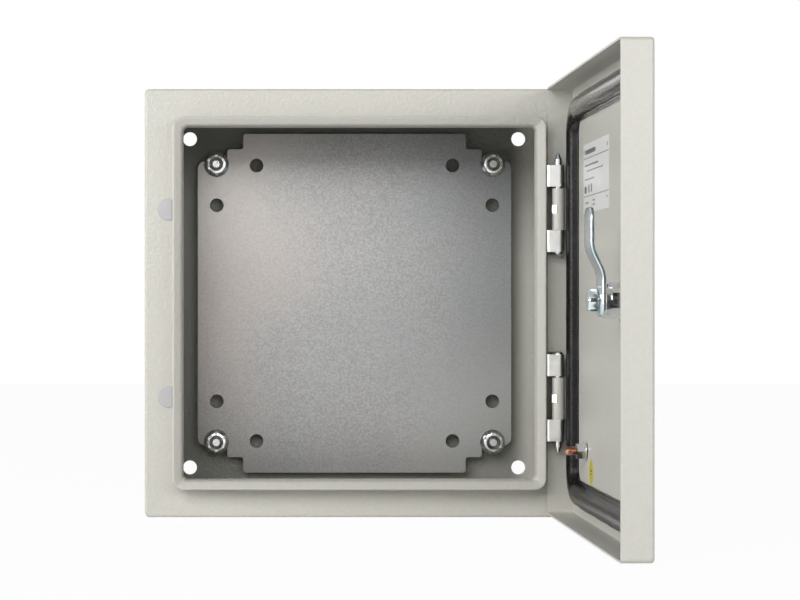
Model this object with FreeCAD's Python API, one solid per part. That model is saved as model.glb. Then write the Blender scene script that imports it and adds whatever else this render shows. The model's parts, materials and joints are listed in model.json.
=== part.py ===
import FreeCAD, Part
import math
import os
from FreeCAD import Vector

# Steel wall enclosure, millimetres. The origin is the centre of the wall-fixing pattern on the
# back face. +X points right, +Y into the wall and +Z up, so the front faces -Y. "Front" values
# are distances in front of the frame face. The door is drawn closed and then swung open.

# Cabinet body, folded from sheet
WIDTH = 300.0
HEIGHT = 300.0
BODY_DEPTH = 123.5
SHEET = 1.2
BODY_CORNER_R = 3.5
FOLD_R = 2.0

# Raised rim round the front opening, which presses into the door gasket
RIM_INSET = 20.5
RIM_WIDTH = 7.0
RIM_HEIGHT = 17.5
RIM_CREST = 1.8
RIM_FALL = 0.8
RIM_OUTER_R = 8.0
RIM_INNER_R = 3.4
RIM_EDGE_R = 1.0
RIM_LIP_R = 2.6
LIP_END_FRONT = 3.6

# Wall fixing holes
WALL_HOLE_INSET = 26.0
WALL_HOLE_D = 10.5

# Mounting plate, its holes and its stepped corners
PLATE_INSET_X = 32.5
PLATE_INSET_Z = 23.0
PLATE_SHEET = 2.0
PLATE_STANDOFF = 10.0
PLATE_HOLE_D = 10.3
PLATE_HOLES_TO_SIDE = 14.2
PLATE_HOLES_TO_END = 23.7
PLATE_HOLES_FAR_X = 44.0
PLATE_HOLES_FAR_Z = 53.5
PLATE_CROWN_CUT_X = 34.1
PLATE_SHOULDER_CUT_X = 22.1
PLATE_SHOULDER_CUT_Z = 11.6
PLATE_TAB_CUT_Z = 20.5
PLATE_TAB_R = 5.5
PLATE_FOLD_R = 2.0

# Studs that carry the plate, M8
STUD_INSET_X = 46.5
STUD_INSET_Z = 46.0
STUD_D = 8.0
STUD_BELOW_NUT_TOP = 0.4
STUD_CHAMFER = 1.2
STUD_SLOT_CLEAR = 0.5
SPACER_D = 14.0
NUT_ACROSS_FLATS = 14.0
NUT_HEIGHT = 8.0
NUT_MOUTH_D = 10.5
NUT_FLANGE_D = 18.5
NUT_FLANGE_T = 1.6

# Hinges: a zinc bracket with two knuckles on the cabinet, a pin and a barrel on the door
AXIS_INSET = 12.0
AXIS_FRONT = 13.2
HINGE_INSET_Z = 84.4
KNUCKLE_HEIGHT = 15.0
KNUCKLE_GAP = 30.2
BARREL_PLAY = 1.2
BARREL_SEAT_GAP = 0.1
PIN_D = 5.0
PIN_RUNNING_GAP = 0.05
PIN_PROUD = 4.2
PIN_TIP_LENGTH = 4.0
PIN_TIP_D = 1.6
PIN_HEAD_D = 7.2
PIN_HEAD_HEIGHT = 2.4
BRACKET_SHEET = 1.7
BRACKET_WALL_TO_AXIS = 8.3
BRACKET_BASE_BEYOND_AXIS = 3.8
CURL_SLOT = 0.7
BARREL_D = 8.5
LEAF_SHEET = 1.7
LEAF_FOOT_WIDTH = 8.4
CLIP_WIDTH = 4.0
CLIP_HEIGHT = 5.3
CLIP_PROUD = 0.7
CLIP_DEPTH = 1.3
CLIP_ANGLE = 137.0

# D-shaped hinge holes, used on the hinge side and plugged on the other
HINGE_HOLE_INSET = 16.6
HINGE_HOLE_R = 6.6
HINGE_HOLE_FLAT_INSET = 18.4
HINGE_HOLE_CLEAR = 0.1
PLUG_OVERLAP = 0.9
PLUG_CAP_T = 1.0
PLUG_LEG_LENGTH = 4.0
PLUG_LEG_T = 1.2
CLAMP_HALF_Z = 12.0
CLAMP_T = 2.0
CLAMP_START_INSET = 20.7
CLAMP_END_INSET = 3.0
SCREW_D = 5.0
SCREW_HEAD_D = 9.2
SCREW_HEAD_T = 2.8
SCREW_COVER = 0.5

# Door pan
DOOR_INSET_X = 1.5
DOOR_INSET_Z = 1.0
DOOR_DEPTH = 19.5
DOOR_GAP = 7.0
DOOR_CORNER_R = 3.0
DOOR_OPEN_DEG = 91.45
DOOR_RAISE = 1.5
NOTCH_DEPTH = 6.0
NOTCH_CLEAR_Z = 1.5

# Door gasket, centred on the rim
GASKET_WIDTH = 10.0
GASKET_OUTER_R = 20.0
GASKET_EDGE_R = 2.6
GASKET_GAP = 0.3

# Quarter-turn lock; heights are measured from the panel's inner face
LOCK_INSET = 79.0
LOCK_BODY_D = 22.0
LOCK_FLAT_CUT = 1.0
LOCK_FLANGE_OVERHANG = 3.0
LOCK_FLANGE_T = 2.2
LOCK_FLANGE_R = 1.2
LOCK_HOLE_CLEAR = 0.25
LOCK_SEAL_T = 0.8
LOCK_NUT_WALL = 2.5
LOCK_NUT_T = 5.0
LOCK_NUT_CHAMFER = 1.0
INSERT_D = 15.8
INSERT_RUNNING_GAP = 0.05
INSERT_RECESS = 1.0
INSERT_HEAD_D = 18.0
INSERT_HEAD_T = 1.6
KEY_POCKET_D = 12.0
KEY_POCKET_DEPTH = 8.0
KEY_CORE_D = 5.0
KEY_BAR_WIDTH = 2.6
KEY_BAR_SPAN = 9.4
STOP_HEIGHT = 3.9
STOP_FLOOR_GAP = 0.2
STOP_LUG_R = 9.8
STOP_SIDE_GAP = 0.2
CAM_SEAT = 15.3
CAM_SHEET = 2.5
CAM_WIDTH = 19.0
CAM_CRANK = 7.1
CAM_TAIL = 10.0
CAM_BEND_START = 18.0
CAM_BEND_END = 30.5
CAM_BEND_R = 4.0
CAM_REACH = 55.8
CAM_TIP_R = 6.0
CAM_SQUARE = 10.6
CAM_SQUARE_CLEAR = 0.05
CAM_WASHER_D = 18.0
CAM_WASHER_T = 1.4
BOLT_D = 8.0
BOLT_FLATS = 13.0
BOLT_HEAD_T = 5.6
BOLT_CHAMFER = 0.8
BOLT_LENGTH = 8.0

# Door earth stud, M6
EARTH_INSET_X = 61.5
EARTH_INSET_Z = 49.1
EARTH_D = 6.0
EARTH_LENGTH = 14.3
EARTH_BASE_D = 9.0
EARTH_BASE_T = 0.8
EARTH_WASHER_D = 12.0
EARTH_WASHER_T = 1.2
EARTH_NUT_FLATS = 10.0
EARTH_NUT_T = 5.0

# Cable entry plate in the floor of the cabinet
GLAND_CUT_INSET = 50.0
GLAND_CUT_Y = 76.0
GLAND_MARGIN = 12.0
GLAND_SHEET = 1.5
GLAND_SEAL_T = 2.0
GLAND_STUD_D = 5.0
GLAND_STUD_LENGTH = 13.0
GLAND_NUT_FLATS = 8.0
GLAND_NUT_T = 4.0
GLAND_CORNER_R = 4.0

THREAD_GAP = 0.02
EPS = 0.01

# Places and planes worked out from the sizes above
LOCK_BODY_R = LOCK_BODY_D / 2
LOCK_HALF_FLATS = LOCK_BODY_R - LOCK_FLAT_CUT
LOCK_FLANGE_RADIUS = LOCK_BODY_R + LOCK_FLANGE_OVERHANG
LOCK_NUT_FLATS = LOCK_BODY_D + 2 * LOCK_NUT_WALL
HALF_X = WIDTH / 2
HALF_Z = HEIGHT / 2
RIM_HALF_X = HALF_X - RIM_INSET
RIM_HALF_Z = HALF_Z - RIM_INSET
WALL_HOLE_X = HALF_X - WALL_HOLE_INSET
WALL_HOLE_Z = HALF_Z - WALL_HOLE_INSET
PLATE_HALF_X = HALF_X - PLATE_INSET_X
PLATE_HALF_Z = HALF_Z - PLATE_INSET_Z
PLATE_TAB_Z = PLATE_HALF_Z - PLATE_TAB_CUT_Z
STUD_X = HALF_X - STUD_INSET_X
STUD_Z = HALF_Z - STUD_INSET_Z
AXIS_X = HALF_X - AXIS_INSET
HINGE_Z = HALF_Z - HINGE_INSET_Z
BRACKET_WALL_X = AXIS_X - BRACKET_WALL_TO_AXIS
HINGE_HOLE_X = HALF_X - HINGE_HOLE_INSET
HINGE_HOLE_FLAT_X = HALF_X - HINGE_HOLE_FLAT_INSET
HINGE_SCREW_X = (HINGE_HOLE_FLAT_X + HINGE_HOLE_X + HINGE_HOLE_R) / 2
DOOR_HALF_X = HALF_X - DOOR_INSET_X
DOOR_HALF_Z = HALF_Z - DOOR_INSET_Z
LOCK_X = LOCK_INSET - HALF_X
EARTH_X = HALF_X - EARTH_INSET_X
EARTH_Z = EARTH_INSET_Z - HALF_Z
FRAME_Y = -BODY_DEPTH
RIM_Y = FRAME_Y - RIM_HEIGHT
BACK_INNER_Y = -SHEET
PLATE_BACK_Y = BACK_INNER_Y - PLATE_STANDOFF
PLATE_FRONT_Y = PLATE_BACK_Y - PLATE_SHEET
AXIS_Y = FRAME_Y - AXIS_FRONT
DOOR_EDGE_Y = FRAME_Y - DOOR_GAP
DOOR_FACE_Y = DOOR_EDGE_Y - DOOR_DEPTH
PANEL_Y = DOOR_FACE_Y + SHEET
FLOOR_Z = SHEET - HALF_Z
GLAND_HALF_X = HALF_X - GLAND_CUT_INSET
GLAND_Y = (FRAME_Y + SHEET + BACK_INNER_Y) / 2
HINGE_HALF = KNUCKLE_HEIGHT + KNUCKLE_GAP / 2
KNUCKLE_R = PIN_D / 2 + BRACKET_SHEET
UP = Vector(0, 0, 1)
BACKWARD = Vector(0, 1, 0)


def block(x0, x1, y0, y1, z0, z1):
    """Box between two corners."""
    return Part.makeBox(x1 - x0, y1 - y0, z1 - z0, Vector(x0, y0, z0))


def rod_y(radius, x, z, y0, y1):
    """Cylinder along Y from y0 to y1."""
    return Part.makeCylinder(radius, y1 - y0, Vector(x, y0, z), BACKWARD)


def rod_z(radius, x, y, z0, z1):
    """Cylinder along Z from z0 to z1."""
    return Part.makeCylinder(radius, z1 - z0, Vector(x, y, z0), UP)


def hexagon_y(flats, x, z, y0, y1):
    """Hexagonal prism along Y, with two flats facing up and down."""
    corner = flats / math.sqrt(3)
    turns = [math.radians(60 * step) for step in range(7)]
    points = [Vector(x + corner * math.cos(t), y0, z + corner * math.sin(t)) for t in turns]
    return Part.Face(Part.makePolygon(points)).extrude(Vector(0, y1 - y0, 0))


def round_along_y(shape, radius, keep=lambda point: True):
    """Rounds the straight edges along Y whose middle passes the test."""
    edges = []
    for edge in shape.Edges:
        box = edge.BoundBox
        if box.XLength < EPS and box.ZLength < EPS and keep(box.Center):
            edges.append(edge)
    return shape.makeFillet(radius, edges)


def round_at_y(shape, radius, y, within=WIDTH + HEIGHT):
    """Rounds the edges in the plane at y that lie within a distance of the Y axis."""
    edges = []
    for edge in shape.Edges:
        box = edge.BoundBox
        if abs(box.YMin - y) < EPS and abs(box.YMax - y) < EPS and box.XMax < within and -box.XMin < within:
            edges.append(edge)
    return shape.makeFillet(radius, edges)


def rounded_block(half_x, half_z, radius, y0, y1):
    """Block about the Y axis with its four edges along Y rounded."""
    return round_along_y(block(-half_x, half_x, y0, y1, -half_z, half_z), radius)


def four_corners(x, z):
    """Four places mirrored left to right and top to bottom."""
    return [(sx * x, sz * z) for sx in (-1, 1) for sz in (-1, 1)]


def joined(shapes):
    """Fuses overlapping solids into one with clean faces."""
    return shapes[0].fuse(shapes[1:]).removeSplitter()


def rim_block(inward, radius, y0, y1):
    """Rounded block that lies inside the rim's outline by the given distance."""
    return rounded_block(RIM_HALF_X - inward, RIM_HALF_Z - inward, radius, y0, y1)


def rim_outline(inward, radius, y):
    """Closed line round the rim at y, inside its outline by the given distance."""
    face = [f for f in rim_block(inward, radius, y, y + SHEET).Faces if f.BoundBox.YMax < y + EPS][0]
    return face.OuterWire


def rim_slope():
    """Shallow tapered block whose sides give the front band its fall towards the opening."""
    crest = rim_outline(RIM_CREST, RIM_OUTER_R - RIM_CREST, RIM_Y)
    foot = rim_outline(RIM_WIDTH, RIM_INNER_R, RIM_Y + RIM_FALL)
    return Part.makeLoft([crest, foot], True, True)


def rim():
    """Raised channel round the opening: outer wall, sloping front band and a short inner lip."""
    body = rim_block(0, RIM_OUTER_R, RIM_Y, FRAME_Y + SHEET)
    body = round_at_y(body, RIM_EDGE_R, RIM_Y)
    body = body.cut(rim_block(RIM_WIDTH, RIM_INNER_R, RIM_Y - SHEET, 0)).cut(rim_slope())
    lip_y = RIM_Y + RIM_FALL
    body = round_at_y(body, RIM_LIP_R, lip_y, RIM_HALF_X - RIM_WIDTH + EPS)
    under_y = lip_y + SHEET
    channel = rim_block(SHEET, RIM_OUTER_R - SHEET, under_y, 0)
    core = rim_block(RIM_WIDTH - SHEET, RIM_INNER_R + SHEET, RIM_Y, FRAME_Y - LIP_END_FRONT)
    channel = channel.cut(core)
    return body.cut(round_at_y(channel, RIM_LIP_R - SHEET, under_y, RIM_HALF_X - RIM_WIDTH + SHEET + EPS))


def hinge_hole(x_sign, z, grow, y0, y1):
    """D-shaped prism: a round hole cut off by a flat beside the rim."""
    disc = rod_y(HINGE_HOLE_R + grow, HINGE_HOLE_X, z, y0, y1)
    far = HINGE_HOLE_X + 2 * HINGE_HOLE_R
    half = 2 * HINGE_HOLE_R
    kept = disc.common(block(HINGE_HOLE_FLAT_X - grow, far, y0, y1, z - half, z + half))
    if x_sign > 0:
        return kept
    return kept.mirror(Vector(0, 0, 0), Vector(1, 0, 0))


def gland_cutout_box(margin, z0, z1):
    """Rounded block over the cable entry, larger by the margin, between two heights."""
    half_x = GLAND_HALF_X + margin
    half_y = GLAND_CUT_Y / 2 + margin
    body = block(-half_x, half_x, GLAND_Y - half_y, GLAND_Y + half_y, z0, z1)
    edges = [e for e in body.Edges if e.BoundBox.ZLength > EPS]
    return body.makeFillet(GLAND_CORNER_R, edges)


def gland_stud_places():
    """Six stud centres in the margin round the cable entry."""
    offset_x = GLAND_HALF_X + GLAND_MARGIN / 2
    offset_y = (GLAND_CUT_Y + GLAND_MARGIN) / 2
    return [(x, GLAND_Y + y) for x in (-offset_x, 0, offset_x) for y in (-offset_y, offset_y)]


def cabinet_shell():
    """Folded body with its back, its front frame and the rim."""
    outer = rounded_block(HALF_X, HALF_Z, BODY_CORNER_R, FRAME_Y, 0)
    outer = round_at_y(round_at_y(outer, FOLD_R, 0), FOLD_R, FRAME_Y)
    inner = rounded_block(HALF_X - SHEET, HALF_Z - SHEET, BODY_CORNER_R - SHEET, FRAME_Y + SHEET, -SHEET)
    hollow = outer.cut(inner)
    hollow = hollow.cut(rim_block(SHEET, RIM_OUTER_R - SHEET, RIM_Y, FRAME_Y + 2 * SHEET))
    shell = joined([hollow, rim()])
    for x, z in four_corners(WALL_HOLE_X, WALL_HOLE_Z):
        shell = shell.cut(rod_y(WALL_HOLE_D / 2, x, z, -2 * SHEET, SHEET))
    for x_sign in (-1, 1):
        for z in (-HINGE_Z, HINGE_Z):
            shell = shell.cut(hinge_hole(x_sign, z, 0, FRAME_Y - SHEET, FRAME_Y + 2 * SHEET))
    return shell.cut(gland_cutout_box(0, FLOOR_Z - 2 * SHEET, FLOOR_Z + SHEET))


def mounting_plate():
    """Flat plate with stepped corners, stud slots and device holes."""
    y0, y1 = PLATE_FRONT_Y, PLATE_BACK_Y
    plate = block(-PLATE_HALF_X, PLATE_HALF_X, y0, y1, -PLATE_TAB_Z, PLATE_TAB_Z)
    shoulder_x = PLATE_HALF_X - PLATE_SHOULDER_CUT_X
    shoulder_z = PLATE_HALF_Z - PLATE_SHOULDER_CUT_Z
    shoulder = block(-shoulder_x, shoulder_x, y0, y1, -shoulder_z, shoulder_z)
    crown_x = PLATE_HALF_X - PLATE_CROWN_CUT_X
    crown = block(-crown_x, crown_x, y0, y1, -PLATE_HALF_Z, PLATE_HALF_Z)
    plate = joined([plate, shoulder, crown])
    plate = round_along_y(plate, PLATE_TAB_R, lambda point: abs(point.x) > PLATE_HALF_X - EPS)
    plate = round_along_y(plate, PLATE_FOLD_R, lambda point: abs(point.x) < shoulder_x + EPS)
    slot_r = STUD_D / 2 + STUD_SLOT_CLEAR
    for x, z in four_corners(STUD_X, STUD_Z):
        out = math.copysign(PLATE_TAB_Z, z)
        low, high = sorted((z, 2 * out - z))
        slot = rod_y(slot_r, x, z, y0, y1).fuse(block(x - slot_r, x + slot_r, y0, y1, low, high))
        plate = plate.cut(slot)
    wide = four_corners(PLATE_HALF_X - PLATE_HOLES_TO_SIDE, PLATE_HALF_Z - PLATE_HOLES_FAR_Z)
    tall = four_corners(PLATE_HALF_X - PLATE_HOLES_FAR_X, PLATE_HALF_Z - PLATE_HOLES_TO_END)
    for x, z in wide + tall:
        plate = plate.cut(rod_y(PLATE_HOLE_D / 2, x, z, y0 - SHEET, y1 + SHEET))
    return plate


def plate_stud(x, z):
    """M8 stud welded to the back, chamfered at its tip."""
    tip_y = PLATE_FRONT_Y - NUT_HEIGHT + STUD_BELOW_NUT_TOP
    stud = rod_y(STUD_D / 2, x, z, tip_y, BACK_INNER_Y)
    tip = [e for e in stud.Edges if abs(e.BoundBox.YMax - tip_y) < EPS]
    return stud.makeChamfer(STUD_CHAMFER, tip)


def plate_spacer(x, z):
    """Tube on a stud that holds the plate off the back."""
    tube = rod_y(SPACER_D / 2, x, z, PLATE_BACK_Y, BACK_INNER_Y)
    return tube.cut(rod_y(STUD_D / 2 + THREAD_GAP, x, z, PLATE_BACK_Y, BACK_INNER_Y))


def plate_nut(x, z):
    """Flange nut: a hexagon with its upper corners turned off, over a round flange."""
    top = PLATE_FRONT_Y - NUT_HEIGHT
    flange_y = PLATE_FRONT_Y - NUT_FLANGE_T
    corner_r = NUT_ACROSS_FLATS / math.sqrt(3)
    flat_r = NUT_ACROSS_FLATS / 2
    hexagon = hexagon_y(NUT_ACROSS_FLATS, x, z, top, flange_y)
    crown_t = corner_r - flat_r
    crown = Part.makeCone(flat_r, corner_r, crown_t, Vector(x, top, z), BACKWARD)
    crown = crown.fuse(rod_y(corner_r, x, z, top + crown_t, flange_y))
    skirt_t = NUT_FLANGE_T
    skirt = Part.makeCone(corner_r, NUT_FLANGE_D / 2, skirt_t, Vector(x, flange_y - skirt_t / 2, z), BACKWARD)
    flange = skirt.fuse(rod_y(NUT_FLANGE_D / 2, x, z, flange_y + skirt_t / 2, PLATE_FRONT_Y))
    nut = joined([hexagon.common(crown), flange])
    bore_r = STUD_D / 2 + THREAD_GAP
    mouth_t = NUT_MOUTH_D / 2 - bore_r
    mouth = Part.makeCone(NUT_MOUTH_D / 2, bore_r, mouth_t, Vector(x, top, z), BACKWARD)
    return nut.cut(rod_y(bore_r, x, z, top - SHEET, PLATE_BACK_Y)).cut(mouth)


def per_stud(make):
    """One copy of a piece at each of the four plate studs."""
    return Part.makeCompound([make(x, z) for x, z in four_corners(STUD_X, STUD_Z)])


def knuckle(z0, z1):
    """Sheet that stands up beside the rim, runs over the pin and curls round it."""
    front_y = AXIS_Y - KNUCKLE_R
    wall = block(BRACKET_WALL_X, BRACKET_WALL_X + BRACKET_SHEET, front_y, FRAME_Y, z0, z1)
    top = block(BRACKET_WALL_X, AXIS_X, front_y, front_y + BRACKET_SHEET, z0, z1)
    curl = rod_z(KNUCKLE_R, AXIS_X, AXIS_Y, z0, z1)
    slot_x = AXIS_X - KNUCKLE_R - EPS
    slot = block(slot_x, AXIS_X, front_y + BRACKET_SHEET, AXIS_Y + CURL_SLOT, z0, z1)
    body = joined([wall, top, curl.cut(slot)])
    corner = [e for e in body.Edges if e.BoundBox.ZLength > EPS
              and abs(e.BoundBox.Center.x - BRACKET_WALL_X) < EPS
              and abs(e.BoundBox.Center.y - front_y) < EPS]
    return body.makeFillet(BRACKET_SHEET, corner)


def hinge_bracket(centre_z):
    """Base plate with two knuckles and a D-shaped spigot that sits in the frame hole."""
    low = centre_z - HINGE_HALF
    high = centre_z + HINGE_HALF
    base_end_x = AXIS_X + BRACKET_BASE_BEYOND_AXIS
    base = block(BRACKET_WALL_X, base_end_x, FRAME_Y - BRACKET_SHEET, FRAME_Y, low, high)
    spigot = hinge_hole(1, centre_z, -HINGE_HOLE_CLEAR, FRAME_Y - EPS, FRAME_Y + SHEET)
    knuckles = [knuckle(low, low + KNUCKLE_HEIGHT), knuckle(high - KNUCKLE_HEIGHT, high)]
    bracket = joined([base, spigot] + knuckles)
    bracket = bracket.cut(rod_z(PIN_D / 2 + PIN_RUNNING_GAP, AXIS_X, AXIS_Y, low - SHEET, high + SHEET))
    end_y = FRAME_Y - BRACKET_SHEET + SCREW_COVER
    return bracket.cut(rod_y(SCREW_D / 2 + THREAD_GAP, HINGE_SCREW_X, centre_z, end_y, FRAME_Y + 2 * SHEET))


def hinge_pin(centre_z, tip_sign):
    """Pin turned in one piece: domed head, shank and a pointed tip."""
    head_r = PIN_HEAD_D / 2
    shank_r = PIN_D / 2
    shoulder = Vector(head_r, 0, 0)
    pole = Vector(0, 0, -PIN_HEAD_HEIGHT)
    dome_point = Vector(head_r * math.sin(math.pi / 4), 0, -PIN_HEAD_HEIGHT * math.cos(math.pi / 4))
    dome = Part.Arc(pole, dome_point, shoulder).toShape()
    taper_z = 2 * HINGE_HALF + PIN_PROUD
    tip_z = taper_z + PIN_TIP_LENGTH
    corners = [shoulder, Vector(shank_r, 0, 0), Vector(shank_r, 0, taper_z),
               Vector(PIN_TIP_D / 2, 0, tip_z), Vector(0, 0, tip_z), pole]
    profile = Part.Wire([dome] + Part.makePolygon(corners).Edges)
    pin = Part.Face(profile).revolve(Vector(0, 0, 0), UP, 360)
    if tip_sign < 0:
        pin.rotate(Vector(0, 0, 0), Vector(1, 0, 0), 180)
    pin.translate(Vector(AXIS_X, AXIS_Y, centre_z - tip_sign * HINGE_HALF))
    return pin


def hinge_clamp(centre_z):
    """Rectangular plate behind the frame that clamps the bracket."""
    y0 = FRAME_Y + SHEET
    plate = block(HALF_X - CLAMP_START_INSET, HALF_X - CLAMP_END_INSET, y0, y0 + CLAMP_T,
                  centre_z - CLAMP_HALF_Z, centre_z + CLAMP_HALF_Z)
    return plate.cut(rod_y(SCREW_D / 2 + THREAD_GAP, HINGE_SCREW_X, centre_z, y0 - SHEET, y0 + 2 * CLAMP_T))


def hinge_screw(centre_z):
    """Screw from inside the cabinet through the clamp plate into the bracket."""
    seat_y = FRAME_Y + SHEET + CLAMP_T
    end_y = FRAME_Y - BRACKET_SHEET + SCREW_COVER
    head = rod_y(SCREW_HEAD_D / 2, HINGE_SCREW_X, centre_z, seat_y, seat_y + SCREW_HEAD_T)
    head = round_at_y(head, SCREW_HEAD_T / 2, seat_y + SCREW_HEAD_T)
    return joined([head, rod_y(SCREW_D / 2, HINGE_SCREW_X, centre_z, end_y, seat_y)])


def hinge_hole_plug(centre_z):
    """Plastic cap over an unused hinge hole, with a hollow D-shaped leg behind."""
    cap = hinge_hole(-1, centre_z, PLUG_OVERLAP, FRAME_Y - PLUG_CAP_T, FRAME_Y)
    cap = round_at_y(cap, PLUG_CAP_T / 2, FRAME_Y - PLUG_CAP_T)
    end_y = FRAME_Y + PLUG_LEG_LENGTH
    leg = hinge_hole(-1, centre_z, -HINGE_HOLE_CLEAR, FRAME_Y - EPS, end_y)
    leg = leg.cut(hinge_hole(-1, centre_z, -HINGE_HOLE_CLEAR - PLUG_LEG_T, FRAME_Y, end_y + EPS))
    return joined([cap, leg])


def per_hinge(make):
    """One copy of a piece at each hinge height."""
    return Part.makeCompound([make(-HINGE_Z), make(HINGE_Z)])


def gland_plate():
    """Blank cable entry plate that lies on its seal inside the cabinet."""
    z0 = FLOOR_Z + GLAND_SEAL_T
    plate = gland_cutout_box(GLAND_MARGIN, z0, z0 + GLAND_SHEET)
    for x, y in gland_stud_places():
        plate = plate.cut(rod_z(GLAND_STUD_D / 2 + STUD_SLOT_CLEAR, x, y, z0 - SHEET, z0 + 2 * GLAND_SHEET))
    return plate


def gland_seal():
    """Flat rubber frame under the cable entry plate."""
    seal = gland_cutout_box(GLAND_MARGIN, FLOOR_Z, FLOOR_Z + GLAND_SEAL_T)
    seal = seal.cut(gland_cutout_box(0, FLOOR_Z - SHEET, FLOOR_Z + 2 * GLAND_SEAL_T))
    for x, y in gland_stud_places():
        hole_r = GLAND_STUD_D / 2 + THREAD_GAP
        seal = seal.cut(rod_z(hole_r, x, y, FLOOR_Z - SHEET, FLOOR_Z + 2 * GLAND_SEAL_T))
    return seal


def gland_studs():
    """Studs welded to the cabinet floor."""
    top_z = FLOOR_Z + GLAND_STUD_LENGTH
    return Part.makeCompound([rod_z(GLAND_STUD_D / 2, x, y, FLOOR_Z, top_z) for x, y in gland_stud_places()])


def gland_nuts():
    """Hexagon nuts that press the cable entry plate on its seal."""
    seat = FLOOR_Z + GLAND_SEAL_T + GLAND_SHEET
    nuts = []
    for x, y in gland_stud_places():
        nut = hexagon_y(GLAND_NUT_FLATS, 0, 0, 0, GLAND_NUT_T)
        nut.rotate(Vector(0, 0, 0), Vector(1, 0, 0), 90)
        nut.translate(Vector(x, y, seat))
        nuts.append(nut.cut(rod_z(GLAND_STUD_D / 2 + THREAD_GAP, x, y, seat - SHEET, seat + 2 * GLAND_NUT_T)))
    return Part.makeCompound(nuts)


def door_panel():
    """Door pan: a flat face with four folded flanges, notched round the hinges."""
    pan = rounded_block(DOOR_HALF_X, DOOR_HALF_Z, DOOR_CORNER_R, DOOR_FACE_Y, DOOR_EDGE_Y)
    pan = round_at_y(pan, FOLD_R, DOOR_FACE_Y)
    inner_r = DOOR_CORNER_R - SHEET
    inner = rounded_block(DOOR_HALF_X - SHEET, DOOR_HALF_Z - SHEET, inner_r, PANEL_Y, DOOR_EDGE_Y + SHEET)
    inner = round_at_y(inner, FOLD_R - SHEET, PANEL_Y)
    pan = pan.cut(inner)
    notch_half = HINGE_HALF + NOTCH_CLEAR_Z
    for z in (-HINGE_Z - DOOR_RAISE, HINGE_Z - DOOR_RAISE):
        notch_y = DOOR_EDGE_Y - NOTCH_DEPTH
        notch = block(AXIS_X, WIDTH, notch_y, FRAME_Y, z - notch_half, z + notch_half)
        pan = pan.cut(notch)
    hole_r = LOCK_BODY_R + LOCK_HOLE_CLEAR
    flat_half = LOCK_HALF_FLATS + LOCK_HOLE_CLEAR
    y0, y1 = DOOR_FACE_Y - SHEET, PANEL_Y + SHEET
    hole = rod_y(hole_r, LOCK_X, 0, y0, y1)
    return pan.cut(hole.common(block(LOCK_X - flat_half, LOCK_X + flat_half, y0, y1, -hole_r, hole_r)))


def door_gasket():
    """Rubber ring on the inside of the panel, opposite the rim."""
    overhang = (GASKET_WIDTH - RIM_WIDTH) / 2
    top_y = RIM_Y - GASKET_GAP
    ring = rim_block(-overhang, GASKET_OUTER_R, PANEL_Y, top_y)
    ring = ring.cut(rim_block(GASKET_WIDTH - overhang, GASKET_OUTER_R - GASKET_WIDTH, PANEL_Y, top_y))
    return round_at_y(ring, GASKET_EDGE_R, top_y)


def hinge_leaf(centre_z):
    """Painted barrel on the pin, with a web and a foot welded to the door panel."""
    low = centre_z - KNUCKLE_GAP / 2 + BARREL_SEAT_GAP
    high = centre_z + KNUCKLE_GAP / 2 - BARREL_PLAY
    outer_x = AXIS_X + BARREL_D / 2
    barrel = rod_z(BARREL_D / 2, AXIS_X, AXIS_Y, low, high)
    web = block(outer_x - LEAF_SHEET, outer_x, PANEL_Y, AXIS_Y, low, high)
    foot = block(outer_x - LEAF_FOOT_WIDTH, outer_x, PANEL_Y, PANEL_Y + LEAF_SHEET, low, high)
    leaf = joined([barrel, web, foot])
    bend = [e for e in leaf.Edges if e.BoundBox.ZLength > EPS
            and abs(e.BoundBox.Center.x - outer_x) < EPS and abs(e.BoundBox.Center.y - PANEL_Y) < EPS]
    leaf = leaf.makeFillet(LEAF_SHEET, bend)
    leaf = leaf.cut(rod_z(PIN_D / 2 + PIN_RUNNING_GAP, AXIS_X, AXIS_Y, low - SHEET, high + SHEET))
    return leaf.cut(hinge_clip(centre_z))


def hinge_clip(centre_z):
    """Small spring clip in a window of the barrel."""
    middle = centre_z - (BARREL_PLAY - BARREL_SEAT_GAP) / 2
    inner_r = BARREL_D / 2 - CLIP_DEPTH
    outer_r = BARREL_D / 2 + CLIP_PROUD
    half_z = CLIP_HEIGHT / 2
    clip = block(inner_r, outer_r, -CLIP_WIDTH / 2, CLIP_WIDTH / 2, middle - half_z, middle + half_z)
    clip.rotate(Vector(0, 0, 0), UP, CLIP_ANGLE)
    clip.translate(Vector(AXIS_X, AXIS_Y, 0))
    return clip


def lock_half_ring(radius, side_gap, y0, y1, z_sign):
    """Upper or lower half of a disc about the lock axis, kept clear of the middle plane."""
    disc = rod_y(radius, LOCK_X, 0, y0, y1)
    low, high = sorted((z_sign * side_gap, z_sign * LOCK_BODY_D))
    return disc.common(block(LOCK_X - LOCK_BODY_D, LOCK_X + LOCK_BODY_D, y0, y1, low, high))


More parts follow.
